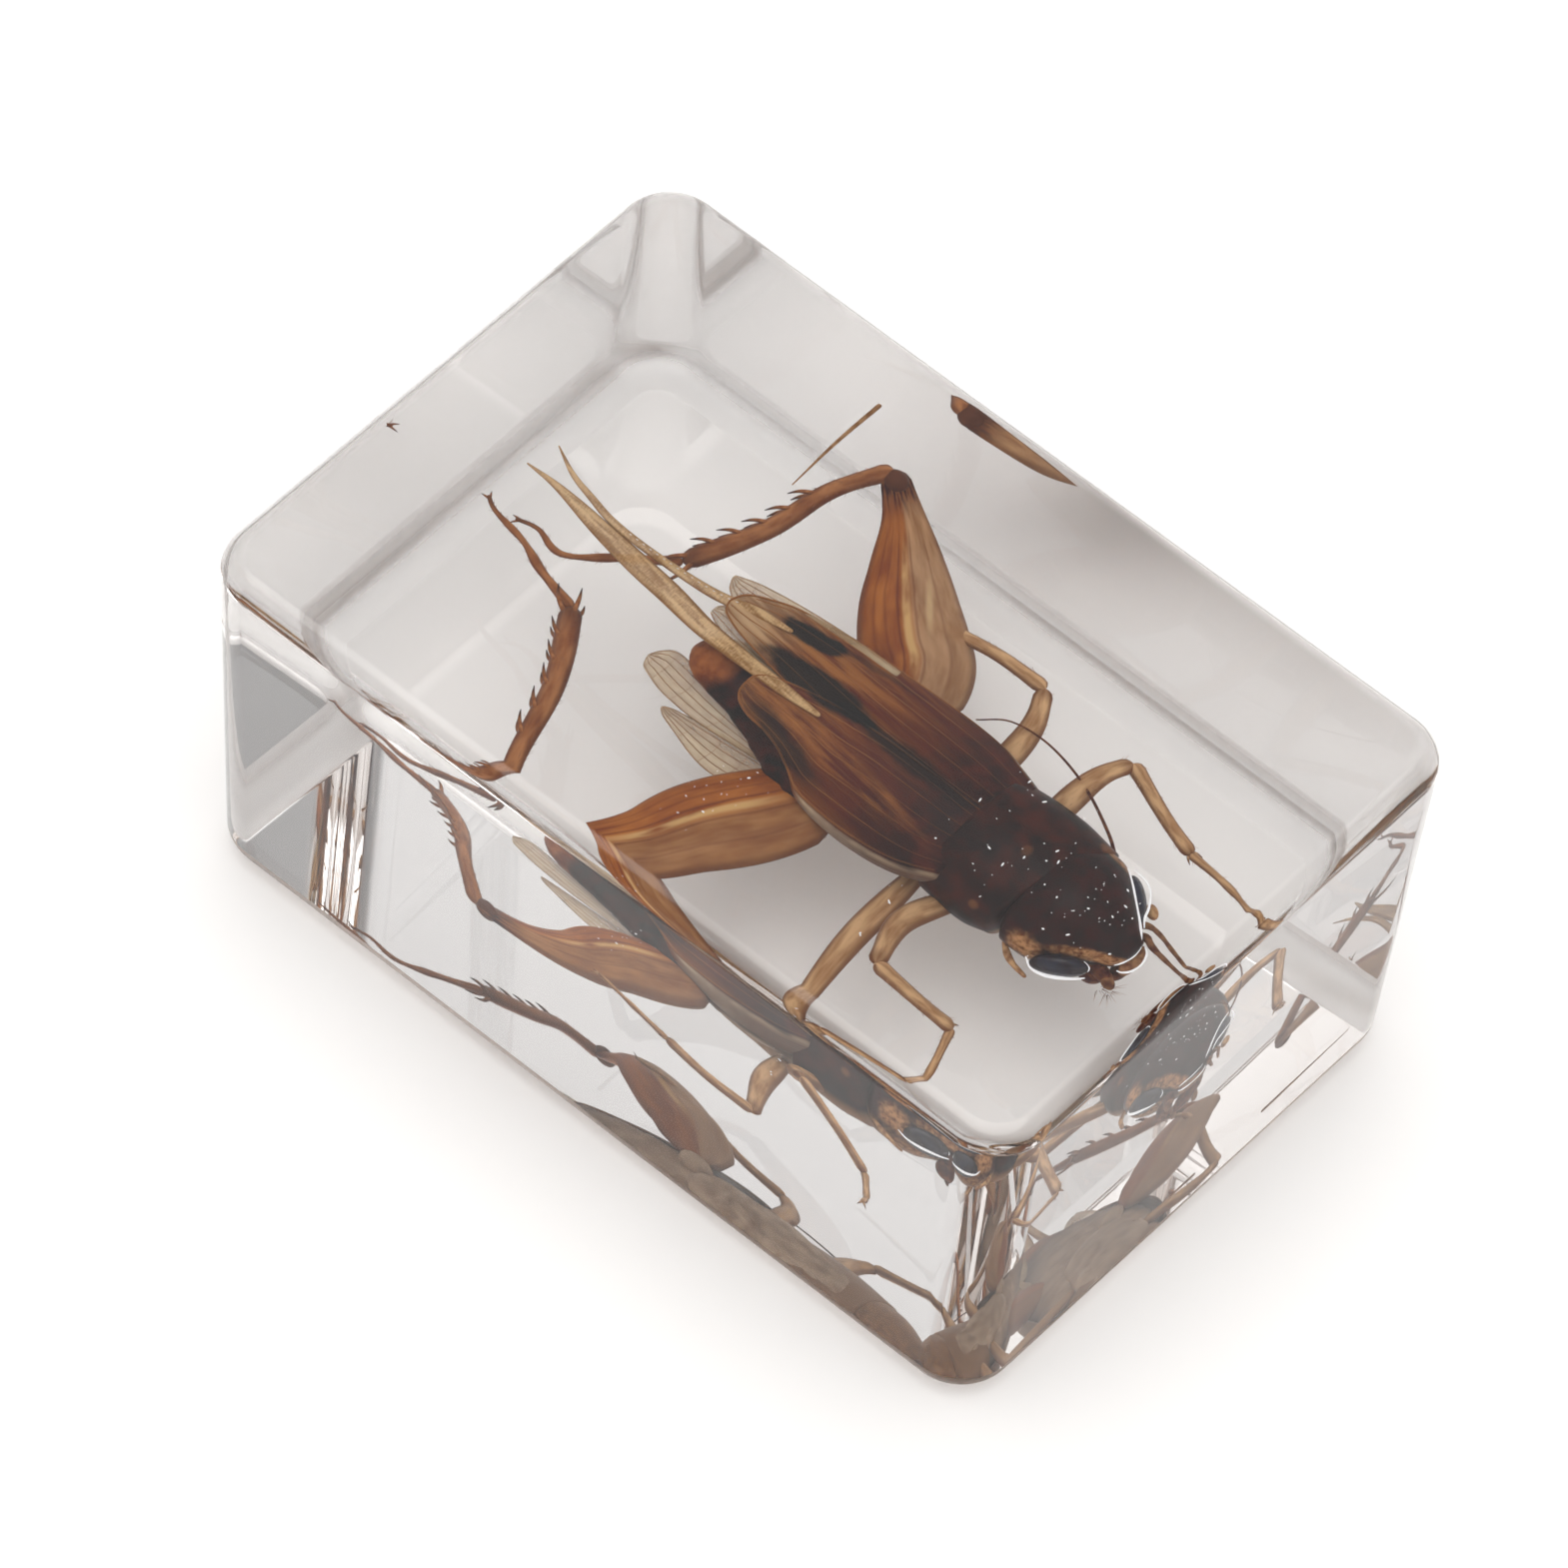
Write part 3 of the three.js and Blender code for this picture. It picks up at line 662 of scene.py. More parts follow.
tube(
    bm, eye_rim, [0.03, 0.07, 0.1, 0.1, 0.07, 0.03], [0.03, 0.05, 0.07, 0.07, 0.05, 0.03],
    sides=10, rings=50,
)
for film in (
    [(14.2, 4.2, 9.0), (14.9, 4.1, 9.0), (15.5, 3.75, 9.0), (15.95, 3.1, 8.95), (16.15, 2.6, 8.8),
     (16.4, 2.3, 8.5)],
    [(16.95, 1.75, 8.0), (17.25, 1.5, 7.95), (17.42, 1.0, 7.9), (17.35, 0.4, 7.9), (17.1, 0.05, 7.9),
     (16.85, -0.05, 7.9)],
):
    around = [0.03, 0.05, 0.04, 0.06, 0.03]
    tube(bm, Route(*film), around, around, sides=8, rings=40)
fix("cricket_air_films", bm, air_film)

# ---- Mouth and feelers ----
# The lip plates, the jaws, the jointed palps and what is left of the two antennae, one broken short
# and one swept back along the body.

FEELERS = (
    ([(15.9, 2.4, 8.0), (16.5, 2.6, 8.3), (17.2, 2.45, 8.6), (18.1, 2.1, 8.9), (19.2, 1.7, 9.2)],
     [0.2, 0.13, 0.1, 0.1, 0.08], 0.3),
    ([(16.3, 1.9, 7.8), (16.7, 2.1, 8.1), (17.3, 1.8, 8.4), (18.2, 1.55, 8.7), (19.3, 1.3, 9.0)],
     [0.22, 0.17, 0.13, 0.1, 0.07], 0.2),
    ([(13.0, -0.9, 7.6), (12.2, -1.7, 7.7), (12.4, -2.2, 7.5), (13.1, -2.65, 7.4), (14.1, -2.8, 7.2)],
     [0.3, 0.19, 0.13, 0.16, 0.13, 0.08], 0.9),
    ([(15.9, 1.4, 6.3), (16.1, 1.6, 5.9), (16.2, 1.7, 5.2)], [0.22, 0.17, 0.2, 0.12], 0.3),
    ([(15.6, 0.2, 6.1), (15.8, 0.3, 5.7), (15.9, 0.4, 5.1)], [0.22, 0.17, 0.2, 0.12], 0.3),
)


def ball(bm, centre, reach, turn=0.0, lean=0.0, fineness=16, along=0.0, mark=0.0):
    """A small oval form, stretched, leaned and turned into its place."""
    turned = Matrix.Rotation(turn, 4, "Z") @ Matrix.Rotation(lean, 4, "Y")
    placed = Matrix.Translation(Vector(centre) * MM) @ turned @ Matrix.Diagonal((*(Vector(reach) * MM), 1))
    made = bmesh.ops.create_uvsphere(
        bm, u_segments=fineness, v_segments=fineness * 2 // 3, radius=1, matrix=placed,
    )
    for vert in made["verts"]:
        vert[bm.verts.layers.float["along"]] = along
        vert[bm.verts.layers.float["mark"]] = mark


mouth, place = chitin("mouth_chitin")
blots = noise(place, 0.35)
dark = mottled(blots, (76, 54, 50), (116, 80, 64))
pale = mottled(blots, (140, 102, 78), (190, 154, 116))
feed(mouth, Base_Color=attribute(place, "mark").between(dark, pale))

bm = new_shape()
ball(bm, (16.95, 0.9, 7.7), (0.4, 0.95, 0.3), 0.12, 0.4, 24, mark=0.35)
ball(bm, (16.6, 0.7, 6.6), (0.4, 0.8, 0.85), 0.1, 0.25, 24)
ball(bm, (16.25, -0.4, 7.5), (0.8, 0.38, 0.45), -0.15, 0.3, 20)
ball(bm, (16.85, -0.6, 7.4), (0.42, 0.3, 0.3), -0.3, 0.4, 20, mark=0.2)
ball(bm, (15.9, -0.5, 6.7), (0.6, 0.45, 0.7), 0.5, 0.1, 20)
ball(bm, (15.8, 1.7, 6.6), (0.6, 0.45, 0.7), -0.4, 0.1, 20)
ball(bm, (15.95, 3.4, 7.9), (0.42, 0.28, 0.26), -0.6, 0.2, 16, mark=1.0)
for line, girth, paleness in FEELERS:
    joints = [smoothly(girth, i / 23) * (1 + 0.15 * abs(math.sin(i * math.pi / 6))) for i in range(24)]
    tube(bm, Route(*line), joints, joints, sides=10, rings=46, mark=paleness)
sweep = Route(
    (13.2, 4.2, 8.4), (11.9, 5.2, 8.2), (9.4, 6.5, 8.0), (6.9, 7.1, 8.0), (4.9, 6.9, 8.0), (3.7, 5.9, 8.0),
)
sweep_girth = [0.09, 0.08, 0.07, 0.06, 0.05, 0.04]
tube(bm, sweep, sweep_girth, sweep_girth, sides=8, rings=120)


def bristle(bm, foot, direction, length, radius):
    """A fine straight hair, in metres, whose mark rises from 0 at its foot to 1 at its tip."""
    direction = direction.normalized()
    turned = direction.to_track_quat("Z", "Y").to_matrix().to_4x4()
    placed = Matrix.Translation(foot + direction * length / 2) @ turned
    made = bmesh.ops.create_cone(
        bm, cap_ends=True, cap_tris=False, segments=3, radius1=radius, radius2=radius * 0.15, depth=length,
        matrix=placed,
    )
    mark = bm.verts.layers.float["mark"]
    for vert in made["verts"]:
        vert[mark] = float((vert.co - foot).dot(direction) > length / 2)


dice = random.Random(5)
for centre in ((17.0, -0.8, 7.1), (16.6, -1.0, 7.2)):
    for _ in range(14):
        way = Vector((dice.uniform(0.2, 1), dice.uniform(-1, 0.6), dice.uniform(-0.6, 0.5)))
        foot = Vector(centre) * MM + way.normalized() * 0.3 * MM
        bristle(bm, foot, way, dice.uniform(0.3, 0.7) * MM, 0.014 * MM)
fix("cricket_mouth", bm, mouth)

# ---- Hind wings ----
# Thin folded membranes under the forewings. Two are rolled into long straw-coloured tails behind the
# body, and at the right side and the rear their veined edges lie open.

membrane, place = chitin("hind_wing_membrane", Roughness=0.5)
cloud = noise(place, 0.8, 3.0, (3, 1, 1), -0.1)
clearness = cloud.fade(0.2, 0.8) * 0.2
mark = attribute(place, "mark")
straw = mottled(cloud, (180, 152, 118), (208, 188, 158))
feed(membrane, Base_Color=mark.between(straw, paint(146, 112, 84)), Alpha=mark * 0.35 + clearness + 0.4)


def roughen(material, height, depth):
    """Fine relief on a material, its depth in millimetres."""
    relief = height.node("ShaderNodeBump", None, {"Height": height, "Distance": depth * MM, "Strength": 1.0})
    feed(material, Normal=relief)


rolled, place = chitin("rolled_wing", Roughness=0.5)
fibre = noise(place, 0.3, 4.0, (8, 1, 1), -0.12)
cross = noise(place, 0.12, 2.0, (0.6, 2.0, 1))
mark = attribute(place, "mark")
# The sides of each roll are painted darker and less clear: painted shade where the roll is seen edge-on from
# above.
edge = abs(attribute(place, "aside")).fade(0.6, 0.98)
straw = (fibre * 0.75 + cross * 0.25).fade(0.38, 0.62).between(paint(156, 118, 80), paint(214, 180, 136))
straw = (edge * 0.7).between(straw, paint(120, 84, 60))
# Where the mark is set, the air dashes are painted near white: a painted reflection of the silver of trapped
# air.
feed(rolled, Base_Color=mark.between(straw, paint(222, 218, 212)), Alpha=edge * 0.25 + cross * 0.2 + 0.62)
roughen(rolled, fibre, 0.02)

TAILS = (
    ([(-19.25, 2.05, 10), (-17.3, 2.0, 10), (-14.3, 1.55, 10), (-12, 1.25, 10), (-9.9, 1.0, 10.05),
      (-7.6, 0.63, 10.15), (-5.6, 0.46, 10.4), (-4.1, 0.37, 10.6), (-2.7, 0.3, 10.75), (-0.6, 0.3, 10.8)],
     [0.04, 0.2, 0.38, 0.5, 0.57, 0.57, 0.52, 0.45, 0.38, 0.3, 0.12],
     [0.03, 0.1, 0.16, 0.2, 0.2, 0.2, 0.18, 0.14, 0.1, 0.08, 0.04]),
    ([(-18.9, 3.75, 10), (-17.4, 3.0, 10), (-15.95, 2.6, 10), (-14.4, 2.25, 10), (-12.3, 2.15, 10),
      (-9.4, 2.24, 10.1), (-7.8, 2.47, 10.15), (-6.4, 2.85, 10.25), (-4.6, 3.1, 10.3)],
     [0.03, 0.13, 0.18, 0.2, 0.21, 0.24, 0.28, 0.28, 0.1],
     [0.03, 0.08, 0.1, 0.12, 0.12, 0.14, 0.14, 0.12, 0.04]),
)
AIR_DASHES = 16
bm = new_shape()
for line, widths, heights in TAILS:
    tube(bm, Route(*line), widths, heights, sides=36, rings=90, keels=(9, 0.05))
line, widths, heights = TAILS[1]
left_tail = Route(*line)
# Dashes of trapped air along the left tail; their silver is painted into the colour.
for i in range(AIR_DASHES):
    share = 0.4 + 0.027 * i
    heading, aside, over = left_tail.frame(share)
    middle = left_tail.at(share) + (over * smoothly(heights, share) * 0.95 + aside * 0.06) * MM
    dash = [(middle + heading * way * MM) / MM for way in (-0.07, 0.07)]
    tube(bm, Route(*dash), [0.02, 0.03, 0.02], [0.02, 0.02, 0.02], sides=6, rings=3, mark=1.0)
fix("hind_wing_tails", bm, rolled)


def sheet(bm, spot, length_steps, width_steps, thickness):
    """A thin closed skin over a surface, which spot(along, across) gives in metres."""
    skin = new_shape()
    bmesh.ops.create_grid(skin, x_segments=length_steps, y_segments=width_steps, size=0.5)
    layers = skin.verts.layers.float
    for vert in skin.verts:
        along, across = vert.co.x + 0.5, vert.co.y + 0.5
        vert[layers["along"]], vert[layers["aside"]] = along, across
        vert.co = spot(along, across)
    bmesh.ops.solidify(skin, geom=skin.faces[:] + skin.edges[:] + skin.verts[:], thickness=thickness * MM)
    join(bm, skin)


def vein(bm, spot, stops, girth, steps=24, lift=0.0):
    """A raised vein over a surface, through (along, across) stops."""
    ways = [[stop[k] for stop in stops] for k in (0, 1)]
    points = [spot(smoothly(ways[0], i / steps), smoothly(ways[1], i / steps)) for i in range(steps + 1)]
    line = Route(*[point / MM + UP * lift for point in points], steps=2)
    tube(bm, line, [girth, girth, girth * 0.6], [girth, girth, girth * 0.6], sides=6, rings=steps, mark=1.0)


LOBES = (
    ([(-8.95, -1.5, -1.3), (-8.75, -1.95, -0.85), (-8.2, -2.2, -0.35), (-7.1, -2.5, -0.4),
      (-5.1, -2.6, -0.8), (-3.0, -2.4, -1.2), (-1.0, -2.2, -1.4)], 7.7, 0.12),
    ([(-6.75, -3.05, -2.9), (-6.4, -3.3, -2.7), (-5.5, -3.6, -2.5), (-4.0, -4.05, -2.2),
      (-2.75, -4.15, -2.0), (-1.2, -3.9, -1.8), (0.6, -3.6, -1.6)], 7.4, 0.12),
    ([(-8.65, 3.7, 3.95), (-8.3, 3.15, 4.1), (-7.4, 2.7, 4.4), (-5.4, 2.4, 4.75), (-3.0, 2.0, 5.0),
      (0.0, 1.8, 5.1)], 9.45, 0.08),
    ([(-8.0, 1.5, 2.0), (-7.4, 1.2, 2.6), (-6.0, 0.8, 2.9), (-4.0, 0.6, 3.0), (-1.0, 0.6, 3.0)], 9.85, 0.08),
)
MEMBRANE_THICKNESS = 0.04
FAN_VEINS = 6
CROSS_VEINS = 4
bm = new_shape()
for stations, height, crown in LOBES:
    def spot(along, across, stations=stations, height=height, crown=crown):
        x, low, high = (smoothly([s[k] for s in stations], along) for k in range(3))
        z = height + crown * math.sin(across * math.pi) - 0.03 * (x + 4)
        return Vector((x, low + (high - low) * across, z)) * MM
    sheet(bm, spot, 40, 30, MEMBRANE_THICKNESS)
    for i in range(FAN_VEINS):
        across = 0.02 + 0.96 * i / (FAN_VEINS - 1)
        vein(bm, spot, [(0.03, 0.5 + (across - 0.5) * 0.9), (0.5, across), (1, across)], 0.022, 20)
    for i in range(CROSS_VEINS):
        start_along = 0.2 + 0.17 * i
        vein(bm, spot, [(start_along, 0.03), (start_along + 0.02, 0.5), (start_along, 0.97)], 0.011, 14)
fix("hind_wing_lobes", bm, membrane)

# ---- Forewings ----
# Two leathery covers folded flat over the back, the right over the left: golden and half clear behind,
# amber in the middle and nearly black at the shield, with black marks. Each turns down along the
# flank, where it is pale and its veins run close together.

WING_CROWN = 10.45
WING_ARCH = 0.085
WING_THICKNESS = 0.12
FOLD = 0.8
LONG_VEINS = 5


def wander(place, size, reach):
    """A place moved about by a cloudy amount of up to half of reach, which makes straight edges ragged.
    Both are in millimetres."""
    blots = {"Vector": place, "Scale": 1 / (size * MM), "Detail": 4.0}
    cloud = place.node("ShaderNodeTexNoise", None, blots, "Color")
    around = {0: cloud, 1: (0.5, 0.5, 0.5)}
    centred = place.node("ShaderNodeVectorMath", {"operation": "SUBTRACT"}, around, "Vector")
    moved = {0: centred, 1: tuple(part * MM for part in reach), 2: place}
    return place.node("ShaderNodeVectorMath", {"operation": "MULTIPLY_ADD"}, moved, "Vector")


cover, place = chitin("forewing_cover", Roughness=0.4)
x = place.axis("X")
mark = attribute(place, "mark")
aside = attribute(place, "aside")
streak = noise(place, 0.45, 4.0, (9, 1, 1), -0.12)
blots = noise(place, 1.6, 4.0)
streaky = (streak * 0.75 + blots * 0.25).fade(0.38, 0.62)
rear = (x + blots * 0.005).fade(-0.0005, -0.0055)
front = (x + blots * 0.006).fade(0.003, 0.0095)
middle = x.fade(0.0015, -0.003)
amber = streaky.between(paint(94, 61, 48), middle.between(paint(116, 74, 54), paint(140, 96, 66)))
golden = streaky.between(paint(156, 118, 86), paint(212, 178, 138))
ground = rear.between(amber, golden)
ground = front.between(ground, blots.fade(0.35, 0.65).between(paint(62, 48, 47), paint(86, 59, 51)))
ragged = wander(place, 1.1, (1.6, 0.6, 0))
# Brighter amber streaks in the middle of the covers: a painted highlight.
painted_highlight = patch(ragged, (1.4, -0.8, 10.5), (4.4, 0.45, 3), -0.1, 0.6)
painted_highlight = painted_highlight + patch(ragged, (-1.6, 3.1, 10.3), (3.6, 0.4, 3), 0.1, 0.6) * 0.6
ground = (painted_highlight * streak.fade(0.35, 0.6) * 0.7).between(ground, paint(160, 108, 70))
black = patch(ragged, (-1.8, 1.62, 10.4), (3.1, 0.85, 3), 0.02, 0.2)
black = black + patch(ragged, (-3.7, 3.65, 10), (1.6, 0.65, 3), 0.16, 0.2)
black = black + patch(ragged, (3.6, 1.3, 10.4), (3.3, 0.55, 3), -0.03, 0.4) * 0.9
black = black + patch(ragged, (-1.2, 4.3, 10), (2.6, 0.2, 3), 0.12, 0.5) * 0.5
black = black + patch(ragged, (-1.1, -1.65, 10.4), (2.8, 0.6, 3), -0.26, 0.5) * 0.85
ground = (black * 0.97).between(ground, paint(57, 47, 46))
wobble = noise(place, 1.8, 2.0) * 0.1
ribs = abs(place.maths("SINE", (aside + wobble) * 30)).fade(0.2, 0.03)
ribs = ribs * (1 - front) * (1 - black) * (rear * 0.8 + 0.2)
ground = (ribs * 0.45).between(ground, paint(186, 140, 96))
flank = aside.fade(FOLD + 0.01, FOLD + 0.04) * x.fade(0.0005, 0.0025) * (1 - front * 0.75)
pleats = abs(place.maths("SINE", aside * 150)).fade(0.6, 0.1)
cream = flank * aside.fade(FOLD + 0.08, FOLD + 0.03) * noise(place, 1.6, 1.0).fade(0.4, 0.6)
ground = flank.between(ground, (pleats * 0.7).between(paint(180, 160, 140), paint(124, 96, 78)))
ground = cream.between(ground, paint(226, 206, 170))
ground = (mark * (1 - black * 0.8) * (1 - front * 0.7)).between(ground, paint(136, 94, 66))
clear = rear * (1 - black) * (1 - mark) * 0.4 + flank * (1 - cream) * (1 - pleats) * 0.5
feed(cover, Base_Color=ground, Alpha=1 - clear)
roughen(cover, streak, 0.02)


def wing_spot(stations, drops, lift, side):
    """The surface of a folded forewing: flat to its fold, then down the flank, and sunk under the shield
    at its front."""
    def spot(along, across):
        x, inner, outer = (smoothly([s[k] for s in stations], along) for k in range(3))
        y = inner + (outer - inner) * min(across / FOLD, 1)
        tucked = lift * min(max((8.0 - x) / 2, 0.4), 1)
        z = WING_CROWN + tucked - WING_ARCH * (y - BODY_Y) ** 2
        down = max(across - FOLD, 0) / (1 - FOLD)
        drop = max(smoothly(drops, along), 0.02)
        return Vector((x, y + side * 0.3 * math.sin(down * math.pi) * min(drop, 1), z - drop * down)) * MM
    return spot


WINGS = (
    ([(-7.7, 2.3, 2.7), (-7.4, 1.8, 3.4), (-6.4, 1.4, 4.05), (-5.4, 1.2, 4.5), (-3.6, 0.9, 4.85),
      (-1.8, 0.6, 5.1), (0, 0.4, 5.2), (2.0, 0.3, 5.3), (4.0, 0.3, 5.35), (5.8, 0.3, 5.2),
      (7.2, 0.4, 4.75), (8.4, 0.5, 4.3)],
     [0.02, 0.05, 0.3, 0.8, 1.3, 1.8, 2.0, 1.8, 1.6], 0.05, 1),
    ([(-4.2, -0.55, -0.45), (-4.15, 0.0, -0.95), (-3.8, 0.35, -1.35), (-3.1, 0.65, -1.6), (-2.1, 0.9, -1.7),
      (-1.1, 1.1, -1.95), (0.0, 1.25, -2.45), (0.95, 1.3, -2.9), (2.5, 1.4, -3.05), (4.3, 1.4, -3.05),
      (6.3, 1.4, -2.8), (8.4, 1.4, -2.0)],
     [0.02, 0.02, 0.02, 0.02, 0.02, 0.1, 0.8, 1.3, 1.5, 1.6], 0.3, -1),
)
for name, (stations, drops, lift, side) in zip(("left", "right"), WINGS):
    bm = new_shape()
    spot = wing_spot(stations, drops, lift, side)
    sheet(bm, spot, 90, 70, WING_THICKNESS)
    for i in range(LONG_VEINS):
        across = 0.1 + (FOLD - 0.2) * i / (LONG_VEINS - 1)
        stops = [(0.05 + 0.02 * i, across), (0.4, across + 0.03), (0.75, across - 0.03), (0.99, across)]
        vein(bm, spot, stops, 0.03, 40, -0.01)
    vein(bm, spot, [(0.0, 0.5), (0.03, 0.1), (0.3, 0.0), (0.99, 0.0)], 0.05, 60)
    vein(bm, spot, [(0.0, 0.4), (0.03, FOLD * 0.9), (0.3, FOLD), (0.99, FOLD)], 0.06, 60)
    vein(bm, spot, [(0.3, 1.0), (0.6, 1.0), (0.99, 1.0)], 0.04, 50)
    fix(f"{name}_forewing", bm, cover)

# ---- Hind legs ----
# Jumping legs: a deep, flattened thigh with lengthwise keels, a slim shin with two rows of thorns and
# a crown of spurs at the ankle, and a three-jointed foot that ends in two claws.

HIND_LEGS = (
    ("right",
     [(1.9, -1.3, 7.4), (0.2, -4.6, 7.8), (-1.2, -7.0, 8.0), (-2.4, -9.4, 8.0), (-4.4, -11.4, 8.1),
      (-7.3, -13.0, 8.5)],
     [(-7.3, -13.0, 8.5), (-8.9, -10.3, 9.3), (-10.7, -5.6, 8.4), (-13.3, -1.5, 7.0)],
     [(-13.3, -1.5, 7.0), (-15.7, -0.8, 6.7), (-17.4, -0.1, 6.6), (-19.4, 0.3, 6.6), (-20.2, 0.7, 6.7)]),
    ("left",
     [(1.4, 3.9, 6.6), (-0.1, 6.6, 6.5), (-1.3, 7.65, 6.6), (-2.65, 8.9, 6.7), (-4.1, 10.4, 7.2),
      (-5.6, 11.8, 8.5), (-7.35, 13.0, 10.1)],
     [(-7.35, 13.0, 10.1), (-9.0, 10.7, 8.6), (-9.9, 7.6, 7.4), (-11.7, 4.1, 6.2)],
     [(-11.7, 4.1, 6.2), (-13.5, 2.5, 6.4), (-15.7, 0.6, 6.5), (-17.4, 0.9, 6.5), (-18.5, 0.6, 6.6)]),
)
THIGH_WIDTHS = [1.7, 2.35, 2.5, 2.2, 1.6, 0.95, 0.62]
THIGH_FLATNESS = 0.42
LEFT_TAN = (paint(144, 106, 78), paint(180, 142, 108))
RIGHT_TAN = (paint(136, 92, 66), paint(168, 122, 84))
SHIN_WIDTHS = [0.5, 0.42, 0.44, 0.48, 0.5, 0.54, 0.5]
FOOT_WIDTHS = [0.3, 0.25, 0.2, 0.24, 0.15, 0.18, 0.12, 0.1]
THORNS_PER_ROW = 5
THORN_LENGTH = 1.25
SPUR_LENGTHS = (1.9, 1.5, 1.1, 1.0)
HAIRS_PER_THIGH = 160
HAIRS_PER_SHIN = 260
HAIRS_PER_FOOT = 90
HAIR_RADIUS = 0.012 * MM
HAIR_LEAN = 1.6


def grain(place, along, aside, length, width, size):
    """Cloudy variation drawn out along a limb that is length and width millimetres across."""
    spot = {"X": along * (length * 0.28 * MM), "Y": aside * (width / 2 * MM)}
    return noise(place.node("ShaderNodeCombineXYZ", None, spot), size)


def thigh_finish(name, pale_side, tan):
    """One half orange amber and the other tan and half clear, with a pale yellow band where they meet,
    dark lines along it and a brown knee. A pale streak on the left thigh is a painted highlight, and the
    thin edges are darkened with painted shade. Tan is the pair of colours of the paler half."""
    material, place = chitin(name, Roughness=0.4)
    along, aside = (attribute(place, part) for part in ("along", "aside"))
    lines = grain(place, along, aside, 14, 4.6, 0.9)
    fine = grain(place, along, aside, 14, 4.6, 0.3)
    wavy = aside * pale_side + (lines - 0.5) * 0.1
    amber = mottled(lines, (128, 76, 55), (166, 106, 64))
    pale = (lines * 0.7 + fine * 0.3).fade(0.32, 0.68).between(*tan)
    colour = (wavy + 0.03).fade(-0.08, 0.12).between(amber, pale)
    band = abs(wavy + 0.1).fade(0.12, 0.03) * along.fade(0.1, 0.3) * along.fade(0.8, 0.55)
    colour = (band * lines.fade(0.3, 0.55) * 0.75).between(colour, paint(200, 168, 118))
    for keel, depth in ((-0.72, 0.4), (-0.5, 0.45), (-0.27, 0.7), (0.08, 0.5), (0.55, 0.3)):
        ridge = abs(wavy - keel).fade(0.05, 0.0) * along.fade(0.05, 0.2) * along.fade(0.85, 0.7)
        colour = (ridge * depth).between(colour, paint(106, 66, 50))
    # A pale streak on the left thigh: a painted highlight.
    painted_thigh_highlight = patch(place, (-1.9, 9.3, 7.4), (1.3, 0.16, 1.5), -0.85, 0.6)
    colour = (painted_thigh_highlight * 0.6).between(colour, paint(206, 178, 136))
    # Darker along the thin edges of the thigh: painted shade where it is seen edge-on from above.
    edges = abs(aside).fade(0.86, 1.0) * 0.6
    colour = edges.between(colour, paint(104, 68, 52))
    knee = (along + (lines - 0.5) * 0.1).fade(0.8, 0.93)
    colour = knee.between(colour, fine.fade(0.4, 0.6).between(paint(72, 52, 48), paint(124, 84, 64)))
    feed(material, Base_Color=colour, Alpha=1 - (wavy + 0.03).fade(0.0, 0.2) * along.fade(0.85, 0.6) * 0.15)
    roughen(material, fine, 0.01)
    return material


shin_skin, place = chitin("shin_chitin", Roughness=0.4)
along, aside, mark = (attribute(place, part) for part in ("along", "aside", "mark"))
lines = grain(place, along, aside, 12, 1, 0.6)
colour = mottled(lines, (126, 82, 62), (166, 116, 82))
# Darker along the sides of the shin: painted shade where it is seen edge-on from above.
colour = (abs(aside).fade(0.55, 0.95) * 0.6).between(colour, paint(90, 60, 52))
colour = (along.fade(0.84, 0.97) * 0.6).between(colour, paint(76, 54, 50))
colour = mark.fade(0.3, 1.0).between(colour, paint(66, 50, 48))
feed(shin_skin, Base_Color=colour)


def hairs(bm, route, widths, heights, count, lengths, dice):
    """Short hairs all round a limb that lean towards its far end. Lengths are in millimetres."""
    part = new_shape()
    for _ in range(count):
        share, angle = dice.uniform(0.04, 0.98), dice.uniform(0, 2 * math.pi)
        along, aside, over = route.frame(share)
        out = aside * math.cos(angle) + over * math.sin(angle)
        wide, high = smoothly(widths, share), smoothly(heights, share)
        reach = aside * math.cos(angle) * wide + over * math.sin(angle) * high
        foot = route.at(share) + reach * 0.93 * MM
        way = out + along * HAIR_LEAN * dice.uniform(0.7, 1.3)
        bristle(part, foot, way, dice.uniform(*lengths) * MM, HAIR_RADIUS)
    join(bm, part)


def hooked_thorn(bm, foot, way, bend, length, girth):
    """A curved thorn or claw with a sharp dark tip, in millimetres."""
    foot = foot / MM
    middle = foot + way * length * 0.5 + bend * length * 0.07
    line = Route(foot, middle, foot + way * length - bend * length * 0.05, steps=4)
    taper = [girth, girth * 0.75, girth * 0.15]
    tube(bm, line, taper, taper, sides=7, rings=8, mark="along")


def claws(bm, route):
    """The two hooked claws at the end of a foot."""
    along, aside, over = route.frame(0.98)
    for side in (-1, 1):
        way = (along + aside * 0.55 * side - over * 0.5).normalized()
        hooked_thorn(bm, route.at(0.97), way, over, 0.55, 0.07)


